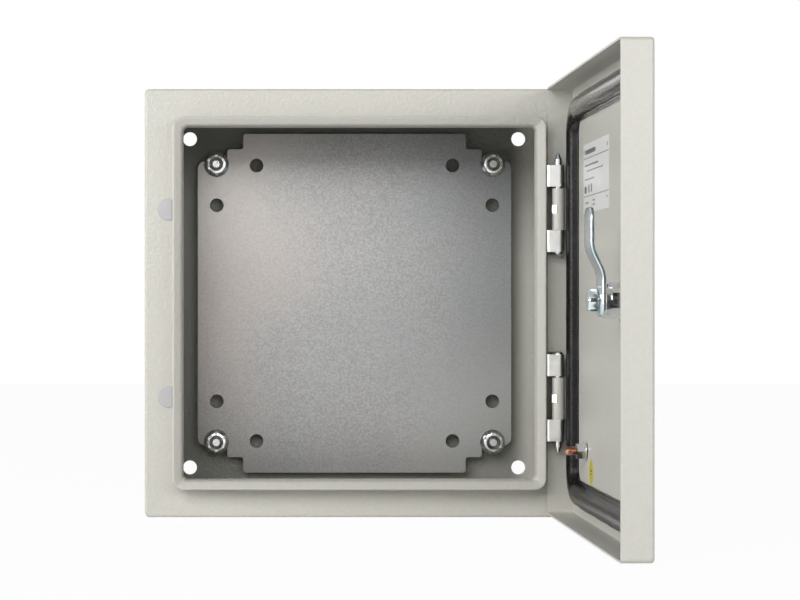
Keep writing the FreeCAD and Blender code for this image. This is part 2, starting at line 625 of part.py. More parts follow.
def lock_housing():
    """Lock body with its outer flange, two flats and a half-ring step that stops the cam."""
    seal_y = DOOR_FACE_Y - LOCK_SEAL_T
    flange = rod_y(LOCK_FLANGE_RADIUS, LOCK_X, 0, seal_y - LOCK_FLANGE_T, seal_y)
    flange = round_at_y(flange, LOCK_FLANGE_R, seal_y - LOCK_FLANGE_T)
    end_y = PANEL_Y + CAM_SEAT - CAM_SQUARE_CLEAR
    body = rod_y(LOCK_BODY_R, LOCK_X, 0, seal_y, end_y)
    half = LOCK_HALF_FLATS
    body = body.common(block(LOCK_X - half, LOCK_X + half, seal_y, end_y, -LOCK_BODY_D, LOCK_BODY_D))
    bore = rod_y(INSERT_D / 2 + INSERT_RUNNING_GAP, LOCK_X, 0, seal_y - 2 * LOCK_FLANGE_T, end_y + SHEET)
    head_seat_y = seal_y - LOCK_FLANGE_T + INSERT_RECESS + INSERT_HEAD_T
    counterbore_r = INSERT_HEAD_D / 2 + INSERT_RUNNING_GAP
    counterbore = rod_y(counterbore_r, LOCK_X, 0, seal_y - 2 * LOCK_FLANGE_T, head_seat_y)
    step = lock_half_ring(LOCK_BODY_D, 0, end_y - STOP_HEIGHT, end_y + SHEET, 1)
    return joined([flange, body]).cut(bore).cut(counterbore).cut(step)


def lock_seal():
    """Rubber washer between the lock flange and the door."""
    y0 = DOOR_FACE_Y - LOCK_SEAL_T
    washer = rod_y(LOCK_FLANGE_RADIUS, LOCK_X, 0, y0, DOOR_FACE_Y)
    return washer.cut(rod_y(LOCK_BODY_R + LOCK_HOLE_CLEAR, LOCK_X, 0, y0 - SHEET, PANEL_Y))


def lock_nut():
    """Large thin hexagon nut on the lock body, inside the door."""
    nut = hexagon_y(LOCK_NUT_FLATS, LOCK_X, 0, PANEL_Y, PANEL_Y + LOCK_NUT_T)
    corner_r = LOCK_NUT_FLATS / math.sqrt(3)
    turned = rod_y(corner_r, LOCK_X, 0, PANEL_Y, PANEL_Y + LOCK_NUT_T - LOCK_NUT_CHAMFER)
    top = Vector(LOCK_X, PANEL_Y + LOCK_NUT_T - LOCK_NUT_CHAMFER, 0)
    crown = Part.makeCone(corner_r, corner_r - 2 * LOCK_NUT_CHAMFER, LOCK_NUT_CHAMFER, top, BACKWARD)
    nut = nut.common(turned.fuse(crown))
    return nut.cut(rod_y(LOCK_BODY_R + THREAD_GAP, LOCK_X, 0, PANEL_Y - SHEET, PANEL_Y + 2 * LOCK_NUT_T))


def lock_insert():
    """Turning core: a head with the key pocket, a round shaft and the square for the cam."""
    face_y = DOOR_FACE_Y - LOCK_SEAL_T - LOCK_FLANGE_T + INSERT_RECESS
    seat_y = PANEL_Y + CAM_SEAT
    head = rod_y(INSERT_HEAD_D / 2, LOCK_X, 0, face_y, face_y + INSERT_HEAD_T)
    shaft = rod_y(INSERT_D / 2, LOCK_X, 0, face_y, seat_y)
    half = CAM_SQUARE / 2
    square = block(LOCK_X - half, LOCK_X + half, seat_y, seat_y + CAM_SHEET - CAM_SQUARE_CLEAR, -half, half)
    core = joined([head, shaft, square])
    pocket = rod_y(KEY_POCKET_D / 2, LOCK_X, 0, face_y - SHEET, face_y + KEY_POCKET_DEPTH)
    pocket = pocket.cut(rod_y(KEY_CORE_D / 2, LOCK_X, 0, face_y, face_y + KEY_POCKET_DEPTH))
    bar_half = KEY_BAR_SPAN / 2
    bar = block(LOCK_X - bar_half, LOCK_X + bar_half, face_y, face_y + KEY_POCKET_DEPTH,
                -KEY_BAR_WIDTH / 2, KEY_BAR_WIDTH / 2)
    core = core.cut(pocket.cut(bar))
    bolt_y = seat_y + CAM_SHEET + CAM_WASHER_T - BOLT_LENGTH
    return core.cut(rod_y(BOLT_D / 2 + THREAD_GAP, LOCK_X, 0, bolt_y, seat_y + 2 * CAM_SHEET))


def stop_lug():
    """Quarter ring under the cam that turns between the ends of the housing's step."""
    seat_y = PANEL_Y + CAM_SEAT
    low_y = seat_y - STOP_HEIGHT + STOP_FLOOR_GAP
    high_y = seat_y + CAM_SHEET / 2
    half = lock_half_ring(STOP_LUG_R, STOP_SIDE_GAP, low_y, high_y, 1)
    quarter = half.common(block(LOCK_X + STOP_SIDE_GAP, LOCK_X + LOCK_BODY_D, low_y, high_y, 0, LOCK_BODY_D))
    return quarter.cut(rod_y(INSERT_D / 2 + INSERT_RUNNING_GAP, LOCK_X, 0, low_y - SHEET, seat_y))


def lock_cam():
    """Cranked tongue that hooks behind the rim's lip; at rest it points up."""
    seat_y = PANEL_Y + CAM_SEAT
    tip_y = seat_y + CAM_CRANK
    sides = [(seat_y, -CAM_TAIL), (seat_y, CAM_BEND_START), (tip_y, CAM_BEND_END), (tip_y, CAM_REACH),
             (tip_y + CAM_SHEET, CAM_REACH), (tip_y + CAM_SHEET, CAM_BEND_END - CAM_SHEET / 2),
             (seat_y + CAM_SHEET, CAM_BEND_START - CAM_SHEET / 2), (seat_y + CAM_SHEET, -CAM_TAIL)]
    points = [Vector(LOCK_X - CAM_WIDTH / 2, y, z) for y, z in sides + sides[:1]]
    cam = Part.Face(Part.makePolygon(points)).extrude(Vector(CAM_WIDTH, 0, 0))
    cam = round_along_y(cam, CAM_TIP_R)
    bends = [e for e in cam.Edges if e.BoundBox.YLength < EPS and e.BoundBox.ZLength < EPS
             and CAM_BEND_START - CAM_SHEET < e.BoundBox.Center.z < CAM_BEND_END + CAM_SHEET]
    cam = joined([cam.makeFillet(CAM_BEND_R, bends), stop_lug()])
    half = CAM_SQUARE / 2 + CAM_SQUARE_CLEAR
    return cam.cut(block(LOCK_X - half, LOCK_X + half, seat_y - SHEET, seat_y + 2 * CAM_SHEET, -half, half))


def cam_washer():
    """Washer between the cam and the bolt head."""
    y0 = PANEL_Y + CAM_SEAT + CAM_SHEET
    washer = rod_y(CAM_WASHER_D / 2, LOCK_X, 0, y0, y0 + CAM_WASHER_T)
    return washer.cut(rod_y(BOLT_D / 2 + THREAD_GAP, LOCK_X, 0, y0 - SHEET, y0 + 2 * CAM_WASHER_T))


def cam_bolt():
    """Hexagon bolt that holds the cam on the insert."""
    y0 = PANEL_Y + CAM_SEAT + CAM_SHEET + CAM_WASHER_T
    corner_r = BOLT_FLATS / math.sqrt(3)
    top = y0 + BOLT_HEAD_T
    turned = rod_y(corner_r, LOCK_X, 0, y0, top - BOLT_CHAMFER)
    start = Vector(LOCK_X, top - BOLT_CHAMFER, 0)
    crown = Part.makeCone(corner_r, corner_r - 2 * BOLT_CHAMFER, BOLT_CHAMFER, start, BACKWARD)
    head = hexagon_y(BOLT_FLATS, LOCK_X, 0, y0, top).common(turned.fuse(crown))
    return joined([head, rod_y(BOLT_D / 2, LOCK_X, 0, y0 - BOLT_LENGTH, y0)])


def door_earth_stud():
    """Weld stud on the door panel with a small foot."""
    foot = rod_y(EARTH_BASE_D / 2, EARTH_X, EARTH_Z, PANEL_Y, PANEL_Y + EARTH_BASE_T)
    stud = rod_y(EARTH_D / 2, EARTH_X, EARTH_Z, PANEL_Y, PANEL_Y + EARTH_LENGTH)
    tip_y = PANEL_Y + EARTH_LENGTH
    tip = [e for e in stud.Edges if abs(e.BoundBox.YMin - tip_y) < EPS]
    return joined([foot, stud.makeChamfer(STUD_CHAMFER, tip)])


def door_earth_washer():
    """Washer on the foot of the earth stud."""
    y0 = PANEL_Y + EARTH_BASE_T
    washer = rod_y(EARTH_WASHER_D / 2, EARTH_X, EARTH_Z, y0, y0 + EARTH_WASHER_T)
    return washer.cut(rod_y(EARTH_D / 2 + THREAD_GAP, EARTH_X, EARTH_Z, y0 - SHEET, y0 + 2 * EARTH_WASHER_T))


def door_earth_nut():
    """Hexagon nut on the earth stud."""
    y0 = PANEL_Y + EARTH_BASE_T + EARTH_WASHER_T
    nut = hexagon_y(EARTH_NUT_FLATS, EARTH_X, EARTH_Z, y0, y0 + EARTH_NUT_T)
    return nut.cut(rod_y(EARTH_D / 2 + THREAD_GAP, EARTH_X, EARTH_Z, y0 - SHEET, y0 + 2 * EARTH_NUT_T))


def swung_open(shape):
    """Turns a piece of the closed door about the hinge line to its rest place."""
    shape.rotate(Vector(AXIS_X, AXIS_Y, 0), UP, DOOR_OPEN_DEG)
    return shape


def cabinet_parts():
    """Pieces that stay with the cabinet."""
    return {
        "cabinet_shell": cabinet_shell(),
        "mounting_plate": mounting_plate(),
        "plate_studs": per_stud(plate_stud),
        "plate_spacers": per_stud(plate_spacer),
        "plate_nuts": per_stud(plate_nut),
        "hinge_bracket_upper": hinge_bracket(HINGE_Z),
        "hinge_bracket_lower": hinge_bracket(-HINGE_Z),
        "hinge_pin_upper": hinge_pin(HINGE_Z, 1),
        "hinge_pin_lower": hinge_pin(-HINGE_Z, -1),
        "hinge_clamp_plates": per_hinge(hinge_clamp),
        "hinge_screws": per_hinge(hinge_screw),
        "hinge_hole_plugs": per_hinge(hinge_hole_plug),
        "gland_plate": gland_plate(),
        "gland_plate_seal": gland_seal(),
        "gland_plate_studs": gland_studs(),
        "gland_plate_nuts": gland_nuts(),
    }


def raised(shape):
    """Lifts a piece of the door to where the welded hinge leaves hold the panel."""
    shape.translate(UP * DOOR_RAISE)
    return shape


def door_parts():
    """Pieces that swing with the door, drawn closed."""
    leaves = {
        "hinge_leaf_upper": hinge_leaf(HINGE_Z),
        "hinge_leaf_lower": hinge_leaf(-HINGE_Z),
        "hinge_clips": per_hinge(hinge_clip),
    }
    panel_pieces = {
        "door_panel": door_panel(),
        "door_gasket": door_gasket(),
        "lock_housing": lock_housing(),
        "lock_seal": lock_seal(),
        "lock_nut": lock_nut(),
        "lock_insert": lock_insert(),
        "lock_cam": lock_cam(),
        "cam_washer": cam_washer(),
        "cam_bolt": cam_bolt(),
        "door_earth_stud": door_earth_stud(),
        "door_earth_washer": door_earth_washer(),
        "door_earth_nut": door_earth_nut(),
    }
    leaves.update({name: raised(shape) for name, shape in panel_pieces.items()})
    return leaves


def main():
    """Writes each piece to its own file."""
    os.makedirs("parts", exist_ok=True)
    pieces = cabinet_parts()
    pieces.update({name: swung_open(shape) for name, shape in door_parts().items()})
    for name, shape in pieces.items():
        shape.exportStep("parts/" + name + ".step")
        print(name, len(shape.Solids), round(shape.Volume, 1), shape.isValid())


main()
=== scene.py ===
"""Steel wall enclosure with its door open: finishes, small turned parts, seal, labels and studio.

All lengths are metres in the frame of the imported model: +X right, +Y into the wall, +Z up, with the
origin in the middle of the wall-fixing holes. Door pieces are worked out on the closed door and then
carried round the hinge line to their place at rest.
"""
import json
import logging
import math
import operator
from dataclasses import dataclass, field
from enum import Enum
from functools import reduce
from typing import Any, Optional, Sequence, Union

import bmesh
import bpy
import numpy as np
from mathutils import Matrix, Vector


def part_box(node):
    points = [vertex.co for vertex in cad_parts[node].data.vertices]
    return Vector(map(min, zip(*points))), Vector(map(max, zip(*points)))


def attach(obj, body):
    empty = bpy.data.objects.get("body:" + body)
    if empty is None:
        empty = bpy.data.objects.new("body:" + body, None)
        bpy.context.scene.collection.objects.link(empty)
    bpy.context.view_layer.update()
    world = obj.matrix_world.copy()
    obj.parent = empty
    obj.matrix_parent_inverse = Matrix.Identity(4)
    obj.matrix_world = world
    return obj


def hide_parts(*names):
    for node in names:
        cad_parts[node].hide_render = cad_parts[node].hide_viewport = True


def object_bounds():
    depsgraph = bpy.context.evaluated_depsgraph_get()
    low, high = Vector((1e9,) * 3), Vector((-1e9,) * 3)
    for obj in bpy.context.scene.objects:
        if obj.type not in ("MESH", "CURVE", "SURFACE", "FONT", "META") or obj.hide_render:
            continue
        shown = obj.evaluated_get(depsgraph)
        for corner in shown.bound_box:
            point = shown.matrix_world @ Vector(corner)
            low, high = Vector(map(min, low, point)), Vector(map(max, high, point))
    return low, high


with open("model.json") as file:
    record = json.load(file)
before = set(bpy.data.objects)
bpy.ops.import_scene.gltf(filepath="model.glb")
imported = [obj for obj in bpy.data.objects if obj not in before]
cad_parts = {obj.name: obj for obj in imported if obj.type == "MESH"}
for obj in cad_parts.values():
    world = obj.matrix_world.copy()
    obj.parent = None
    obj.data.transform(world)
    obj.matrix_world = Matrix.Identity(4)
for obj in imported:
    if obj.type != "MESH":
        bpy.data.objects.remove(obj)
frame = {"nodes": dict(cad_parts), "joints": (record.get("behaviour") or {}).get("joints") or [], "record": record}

CAD_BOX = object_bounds()
LOG = logging.getLogger("wall_enclosure")
Colour = tuple[float, float, float]
Place = tuple[float, float, float]
Pair = tuple[float, float]
Span = tuple[float, float]
Mark = tuple[float, float, float, float]

QUARTER = math.pi / 2
TURN = 2 * math.pi
MERGE_DISTANCE = 1e-7
SHARP_ANGLE = math.radians(32.0)
# Most values of a noise lie between these.
NOISE: Span = (0.3, 0.7)
# Plate studs' distance from the middle; latch's axis and inside of the panel on the closed door.
STUD_X, STUD_Z = 0.1035, 0.104
LATCH_X, LATCH_Z = -0.071, 0.0015
PANEL_Y = -0.1488
# A thread's depth in pitches, and its flanks' steepness and crest's flat in depths.
THREAD_DEPTH, FLANK_SLOPE, CREST_FLAT = 0.54, 2.4, 0.1
# Socket numbers of a Mix node for colours, whose names repeat.
MIX_FACTOR, MIX_FIRST, MIX_SECOND, MIX_COLOUR = 0, 6, 7, 2


class Body(Enum):
    """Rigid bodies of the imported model."""

    CABINET = "cabinet"
    DOOR = "door"
    LATCH = "latch"


class Slot(Enum):
    """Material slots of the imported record."""

    PAINT = "paint"
    GALVANISED = "galvanised"
    ZINC = "zinc"
    RUBBER = "rubber"
    PLASTIC = "plastic"
    COPPER = "copper"


class Signal:
    """A shader socket that can be used in Python expressions; each operator adds one Math node."""

    def __init__(self, recipe: "Recipe", socket: bpy.types.NodeSocket) -> None:
        """Keeps the socket and the recipe whose node tree it belongs to."""
        self.recipe = recipe
        self.socket = socket

    def _math(self, operation: str, *values: Any) -> "Signal":
        """Adds a Math node.

        Args:
            operation: the Math node's operation.
            values: numbers or signals for its inputs.

        Returns:
            The node's result.
        """
        return self.recipe.node("ShaderNodeMath", {"operation": operation}, dict(enumerate(values)))

    def __add__(self, other: Any) -> "Signal":
        """Sum."""
        return self._math("ADD", self, other)

    __radd__ = __add__

    def __mul__(self, other: Any) -> "Signal":
        """Product."""
        return self._math("MULTIPLY", self, other)

    __rmul__ = __mul__

    def __sub__(self, other: Any) -> "Signal":
        """Difference."""
        return self._math("SUBTRACT", self, other)

    def __rsub__(self, other: Any) -> "Signal":
        """Difference with the operands the other way round."""
        return self._math("SUBTRACT", other, self)

    def absolute(self) -> "Signal":
        """Value without its sign."""
        return self._math("ABSOLUTE", self)

    def below(self, limit: float) -> "Signal":
        """One where the value is below the limit, else zero."""
        return self._math("LESS_THAN", self, limit)

    def above(self, limit: float) -> "Signal":
        """One where the value is above the limit, else zero."""
        return self._math("GREATER_THAN", self, limit)

    def larger(self, other: Any) -> "Signal":
        """The larger of two values."""
        return self._math("MAXIMUM", self, other)

    def spread(self, low: float, high: float, start: float = 0.0, end: float = 1.0) -> "Signal":
        """Maps low..high to start..end with a smooth step and no overshoot.

        Args:
            low: value that gives start.
            high: value that gives end.
            start: result at low.
            end: result at high.

        Returns:
            The mapped value.
        """
        settings = {"interpolation_type": "SMOOTHSTEP"}
        inputs = {"Value": self, "From Min": low, "From Max": high, "To Min": start, "To Max": end}
        return self.recipe.node("ShaderNodeMapRange", settings, inputs, "Result")


class Recipe:
    """Node tree of a material or a world, which starts with nothing but its output node."""

    def __init__(self, owner: Union[bpy.types.Material, bpy.types.World], output: str) -> None:
        """Clears the owner's node tree and adds its output node.

        Args:
            owner: the material or the world.
            output: type name of the output node.
        """
        owner.use_nodes = True
        self.tree = owner.node_tree
        self.tree.nodes.clear()
        self.output = self.tree.nodes.new(output)

    def node(self, kind: str, settings: Optional[dict[str, Any]] = None,
             inputs: Optional[dict[Union[str, int], Any]] = None,
             output: Union[str, int] = 0) -> Signal:
        """Adds a node.

        Args:
            kind: the node's type name.
            settings: properties, set before the inputs.
            inputs: values or signals by socket name or number.
            output: the socket to return.

        Returns:
            The chosen output as a signal.
        """
        added = self.tree.nodes.new(kind)
        for key, value in (settings or {}).items():
            setattr(added, key, value)
        for key, value in (inputs or {}).items():
            self.feed(added.inputs[key], value)
        return Signal(self, added.outputs[output])

    def feed(self, socket: bpy.types.NodeSocket, value: Any) -> None:
        """Links a signal to a socket, or sets the socket's own value.

        Args:
            socket: an input of one of the tree's nodes.
            value: a signal, a number or a colour.
        """
        if isinstance(value, Signal):
            self.tree.links.new(value.socket, socket)
        elif isinstance(value, tuple) and len(value) == 3 and socket.type == "RGBA":
            socket.default_value = (*value, 1.0)
        else:
            socket.default_value = value

    def ray(self, kind: str) -> Signal:
        """One for rays of one kind, such as Camera, else zero."""
        return self.node("ShaderNodeLightPath", output=f"Is {kind} Ray")


class Finish(Recipe):
    """Builds one material: a Principled shader and the nodes that feed it."""

    def __init__(self, name: str) -> None:
        """Starts the material with a Principled shader on its surface.

        Args:
            name: the material's name.
        """
        self.material = bpy.data.materials.new(name)
        super().__init__(self.material, "ShaderNodeOutputMaterial")
        self.shader = self.tree.nodes.new("ShaderNodeBsdfPrincipled")
        self.tree.links.new(self.shader.outputs[0], self.output.inputs["Surface"])

    def set(self, **values: Any) -> None:
        """Sets or links inputs of the Principled shader, with underscores for spaces."""
        for key, value in values.items():
            self.feed(self.shader.inputs[key.replace("_", " ")], value)

    def place(self) -> Signal:
        """Object coordinates in metres."""
        return self.node("ShaderNodeTexCoord", output="Object")

    def noise(self, per_metre: float, detail: float = 2.0, roughness: float = 0.5) -> Signal:
        """Fractal noise from 0 to 1 on Object coordinates.

        Args:
            per_metre: how many blotches fit in a metre.
            detail: number of finer octaves.
            roughness: strength of the finer octaves.

        Returns:
            The noise value.
        """
        inputs = {"Vector": self.place(), "Scale": per_metre, "Detail": detail, "Roughness": roughness}
        return self.node("ShaderNodeTexNoise", inputs=inputs)

    def axis(self, name: str) -> Signal:
        """One Object coordinate, in metres."""
        return self.node("ShaderNodeSeparateXYZ", inputs={"Vector": self.place()}, output=name)

    def cells(self, per_metre: float, output: str = "Distance") -> Signal:
        """Voronoi cells: their distance field or their random colour."""
        inputs = {"Vector": self.place(), "Scale": per_metre}
        return self.node("ShaderNodeTexVoronoi", inputs=inputs, output=output)

    def blend(self, factor: Any, first: Any, second: Any) -> Signal:
        """Colour between first, at factor 0, and second, at factor 1."""
        inputs = {MIX_FACTOR: factor, MIX_FIRST: first, MIX_SECOND: second}
        return self.node("ShaderNodeMix", {"data_type": "RGBA"}, inputs, MIX_COLOUR)

    def bump(self, height: Signal, depth: float, strength: float = 1.0,
             normal: Optional[Signal] = None) -> Signal:
        """Bumped normal.

        Args:
            height: the relief, from 0 to 1.
            depth: the depth in metres that 1 stands for.
            strength: share of the relief that shows.
            normal: the normal under the relief, or none for the mesh's own.

        Returns:
            The normal.
        """
        under = {} if normal is None else {"Normal": normal}
        inputs = {"Height": height, "Distance": depth, "Strength": strength, **under}
        return self.node("ShaderNodeBump", inputs=inputs, output="Normal")


def darker(colour: Colour, share: float) -> Colour:
    """Colour whose channels are cut down to a share."""
    return tuple(share * channel for channel in colour)


@dataclass(frozen=True)
class PowderCoat:
    """Textured powder coat: pale warm grey with an even hammered grain."""

    name: str = "powder_coat"
    base: Colour = (0.575, 0.565, 0.515)
    shade: Colour = (0.54, 0.53, 0.482)
    roughness: Span = (0.36, 0.45)
    grain_per_metre: float = 420.0
    fine_per_metre: float = 1302.0
    cloud_per_metre: float = 14.0
    fine_share: float = 0.2
    cloud_share: float = 0.5
    grain_relief: Span = (0.34, 0.66)
    grain_tone: Span = (0.3, 0.6)
    grain_depth: float = 0.00025
    grain_strength: float = 0.3

    def build(self) -> bpy.types.Material:
        """Builds the coat: blurred bumps with a finer noise over them, in slow clouds of tone.

        Returns:
            The material.
        """
        finish = Finish(self.name)
        grain = finish.noise(self.grain_per_metre, 1.5, 0.45)
        fine = finish.noise(self.fine_per_metre, 1.0)
        height = grain.spread(*self.grain_relief) * (1 - self.fine_share) + fine * self.fine_share
        cloud = finish.noise(self.cloud_per_metre)
        tone = grain.spread(*self.grain_tone) * (1 - self.cloud_share) + cloud * self.cloud_share
        colour = self.settle(finish, finish.blend(tone, self.shade, self.base))
        normal = finish.bump(height, self.grain_depth, self.grain_strength, self.slope(finish))
        finish.set(Base_Color=colour, Roughness=cloud.spread(*NOISE, *self.roughness), Normal=normal)
        return finish.material

    def settle(self, finish: Finish, colour: Signal) -> Signal:
        """Colour after painted shade is laid on; none here."""
        return colour

    def slope(self, finish: Finish) -> Optional[Signal]:
        """Normal under the grain; none here, so the mesh's own."""
        return None


@dataclass(frozen=True)
class CabinetCoat(PowderCoat):
    """The same coat on the cabinet, with painted shade deep inside and on the rim's face, which a bump also pulls
    down towards the rim's inner side.
    """

    name: str = "cabinet_coat"
    grain_strength: float = 0.62
    # Painted shade on the inside of the back, darker under the roof.
    back_shade: Colour = (0.28, 0.28, 0.252)
    roof_shade: Colour = (0.185, 0.19, 0.168)
    # Painted shade on the rim's face.
    rim_face_shade: Colour = (0.50, 0.49, 0.445)
    inside_half: float = 0.1492
    deep_y: Span = (-0.012, -0.004)
    # The painted shade on the back fades out over this span of x on the right.
    back_y: float = -0.0006
    shade_fade_x: Span = (0.117, 0.134)
    roof_z: Span = (0.09, 0.125)
    rim_back: float = -0.1200
    rim_inner: float = 0.1226
    rim_outer: float = 0.1287
    rim_slope: float = 0.26

    def reach(self, finish: Finish) -> Signal:
        """The larger of |x| and |z|: the half size of the square through the point."""
        return finish.axis("X").absolute().larger(finish.axis("Z").absolute())

    def settle(self, finish: Finish, colour: Signal) -> Signal:
        """Paints shade on the inside of the back, darkest under the roof and fading out towards the right, and
        paints shade on the rim's face.

        Args:
            finish: the material in the making.
            colour: the even coat's colour.

        Returns:
            The colour everywhere.
        """
        y, reach = finish.axis("Y"), self.reach(finish)
        # Painted shade on the inside of the back, fading out towards the right edge.
        deep = y.spread(*self.deep_y) * (reach.below(self.inside_half) * y.below(self.back_y))
        shade_by_x = finish.axis("X").spread(*self.shade_fade_x, 1.0, 0.0)
        # Where the rim's face gets its painted shade.
        rim = reach.above(self.rim_inner) * reach.below(self.rim_outer) * y.below(self.rim_back)
        # Painted shade, darker under the roof.
        back_shade = finish.blend(finish.axis("Z").spread(*self.roof_z), self.back_shade, self.roof_shade)
        return finish.blend(deep * shade_by_x, finish.blend(rim, colour, self.rim_face_shade), back_shade)

    def slope(self, finish: Finish) -> Optional[Signal]:
        """Tilts the rim's face inwards: the height grows from its inner to its outer edge.

        Args:
            finish: the material in the making.

        Returns:
            The normal under the grain.
        """
        limits = {"Value": self.reach(finish) - self.rim_inner, "Max": self.rim_outer - self.rim_inner}
        height = finish.node("ShaderNodeClamp", inputs=limits)
        return finish.bump(height * finish.axis("Y").below(self.rim_back), self.rim_slope)


@dataclass(frozen=True)
class Wash:
    """Tint over a colour, whose share goes from start to end while a guide passes through a span."""

    tint: Colour
    span: Span
    start: float
    end: float

    def over(self, finish: Finish, guide: Signal, colour: Signal) -> Signal:
        """Colour with the wash laid over it as the guide says."""
        return finish.blend(guide.spread(*self.span, self.start, self.end), colour, self.tint)


@dataclass(frozen=True)
class GalvanisedSheet:
    """Galvanised sheet: a fine, faint spangle with a soft metallic sheen.

    The guide of the warm tint with painted light and the cool tint with painted shade is x, with a slow drift;
    that of the painted corner shade and corner light is x times z.
    """

    dark: Colour = (0.29, 0.286, 0.279)
    light: Colour = (0.385, 0.384, 0.382)
    # Warm tint with painted light on the left, cool tint with painted shade on the right.
    warm_tint_and_painted_light: Wash = Wash((0.45, 0.402, 0.372), (-0.12, 0.0), 0.55, 0.0)
    cool_tint_and_painted_shade: Wash = Wash((0.30, 0.322, 0.326), (0.0, 0.12), 0.0, 0.5)
    # Painted shade towards the upper right and lower left, painted light towards the upper left and lower right.
    painted_corner_shade: Wash = Wash((0.08, 0.08, 0.08), (0.0, 0.012), 0.0, 0.24)
    painted_corner_light: Wash = Wash((0.62, 0.60, 0.575), (-0.009, 0.0), 0.34, 0.0)
    cells_per_metre: float = 260.0
    speckle_per_metre: float = 620.0
    drift_per_metre: float = 8.0
    drift: Span = (-0.05, 0.05)
    cell_share: float = 0.07
    metallic: float = 0.85
    roughness: Span = (0.44, 0.35)
    relief: float = 0.00002
    relief_strength: float = 0.35

    def build(self) -> bpy.types.Material:
        """Builds the zinc: speckle over faint cells, a warm tint with painted light on the left and a cool tint
        with painted shade on the right.

        Painted light lightens it towards the upper left and the lower right corner, and painted shade darkens it
        towards the other two.

        Returns:
            The material.
        """
        finish = Finish("galvanised_sheet")
        cells = finish.cells(self.cells_per_metre, "Color")
        cell = finish.node("ShaderNodeSeparateColor", inputs={"Color": cells})
        speckle = finish.noise(self.speckle_per_metre, 2.0, 0.6)
        level = cell * self.cell_share + speckle * (1 - self.cell_share)
        colour = finish.blend(level.spread(*NOISE), self.dark, self.light)
        x, z = finish.axis("X"), finish.axis("Z")
        across = x + finish.noise(self.drift_per_metre).spread(*NOISE, *self.drift)
        corner = x * z
        for wash, guide in ((self.warm_tint_and_painted_light, across), (self.cool_tint_and_painted_shade, across),
                            (self.painted_corner_shade, corner), (self.painted_corner_light, corner)):
            colour = wash.over(finish, guide, colour)
        finish.set(Base_Color=colour, Metallic=self.metallic, Roughness=level.spread(*NOISE, *self.roughness),
                   Normal=finish.bump(speckle, self.relief, self.relief_strength))
        return finish.material


@dataclass(frozen=True)
class BrightZinc:
    """Bright zinc plating with blue and straw tints that drift over the surface."""

    name: str = "bright_zinc"
    base: Colour = (0.80, 0.81, 0.80)
    blue: Colour = (0.52, 0.63, 0.76)
    straw: Colour = (0.83, 0.78, 0.64)
    roughness: float = 0.17
    tint: float = 0.4
    blue_per_metre: float = 60.0
    blue_span: Span = (0.48, 0.7)
    straw_per_metre: float = 83.0
    straw_span: Span = (0.5, 0.75)
    rub_per_metre: float = 300.0
    rub_span: Span = (0.35, 0.7)
    rub_roughness: Span = (-0.02, 0.05)
    relief: float = 0.00001
    relief_strength: float = 0.05
    # Painted shade behind a given depth, where the door's leaf keeps the light out.
    painted_leaf_shade: Colour = (0.16, 0.155, 0.14)
    shade_behind: Optional[float] = None
    shade_over: float = 0.0015

    def build(self) -> bpy.types.Material:
        """Builds the plating: two slow noises choose the tints, a third the rubbed places.

        Returns:
            The material.
        """
        finish = Finish(self.name)
        bluish = finish.noise(self.blue_per_metre).spread(*self.blue_span, 0.0, self.tint)
        yellowish = finish.noise(self.straw_per_metre).spread(*self.straw_span, 0.0, self.tint)
        colour = finish.blend(yellowish, finish.blend(bluish, self.base, self.blue), self.straw)
        rubbed = finish.noise(self.rub_per_metre, 1.0)
        low, high = (self.roughness + change for change in self.rub_roughness)
        finish.set(Base_Color=self.settle(finish, colour), Metallic=1.0,
                   Roughness=rubbed.spread(*self.rub_span, low, high),
                   Normal=finish.bump(rubbed, self.relief, self.relief_strength))
        return finish.material

    def settle(self, finish: Finish, colour: Signal) -> Signal:
        """Paints shade on the plating behind a given depth, as where the painted leaf keeps the light out.

        Args:
            finish: the material in the making.
            colour: the bright plating's colour.

        Returns:
            The colour everywhere.
        """
        if self.shade_behind is None:
            return colour
        behind = finish.axis("Y").spread(self.shade_behind - self.shade_over, self.shade_behind)
        return finish.blend(behind, colour, self.painted_leaf_shade)


@dataclass(frozen=True)
class NutZinc(BrightZinc):
    """Plating of the plate's nuts: a painted highlight on the flat ring, and painted shade in the mouth and,
    through a darker colour, on the hexagon and flange below.
    """

    name: str = "nut_zinc"
    # Darker than bright zinc: painted shade on the hexagon and flange.
    base: Colour = (0.40, 0.415, 0.42)
    roughness: float = 0.27
    # Painted highlight on the flat front ring.
    ring: Colour = (1.0, 0.98, 0.94)
    # Painted shade in the countersunk mouth.
    mouth: Colour = (0.20, 0.205, 0.205)
    ring_inner: float = 0.0052
    ring_outer: float = 0.00685
    ring_y: float = -0.0197

    def settle(self, finish: Finish, colour: Signal) -> Signal:
        """Paints shade in the mouth and a highlight on the flat ring, chosen by the distance from the nearest
        stud's axis, squared, and by the depth.

        Args:
            finish: the material in the making.
            colour: the plating's colour.

        Returns:
            The colour everywhere.
        """
        x = finish.axis("X").absolute() - STUD_X
        z = finish.axis("Z").absolute() - STUD_Z
        away = x * x + z * z
        # Painted shade in the mouth, painted highlight on the front ring.
        inside = away.below(self.ring_inner ** 2)
        face = away.below(self.ring_outer ** 2) * finish.axis("Y").below(self.ring_y)
        return finish.blend(inside, finish.blend(face, colour, self.ring), self.mouth)


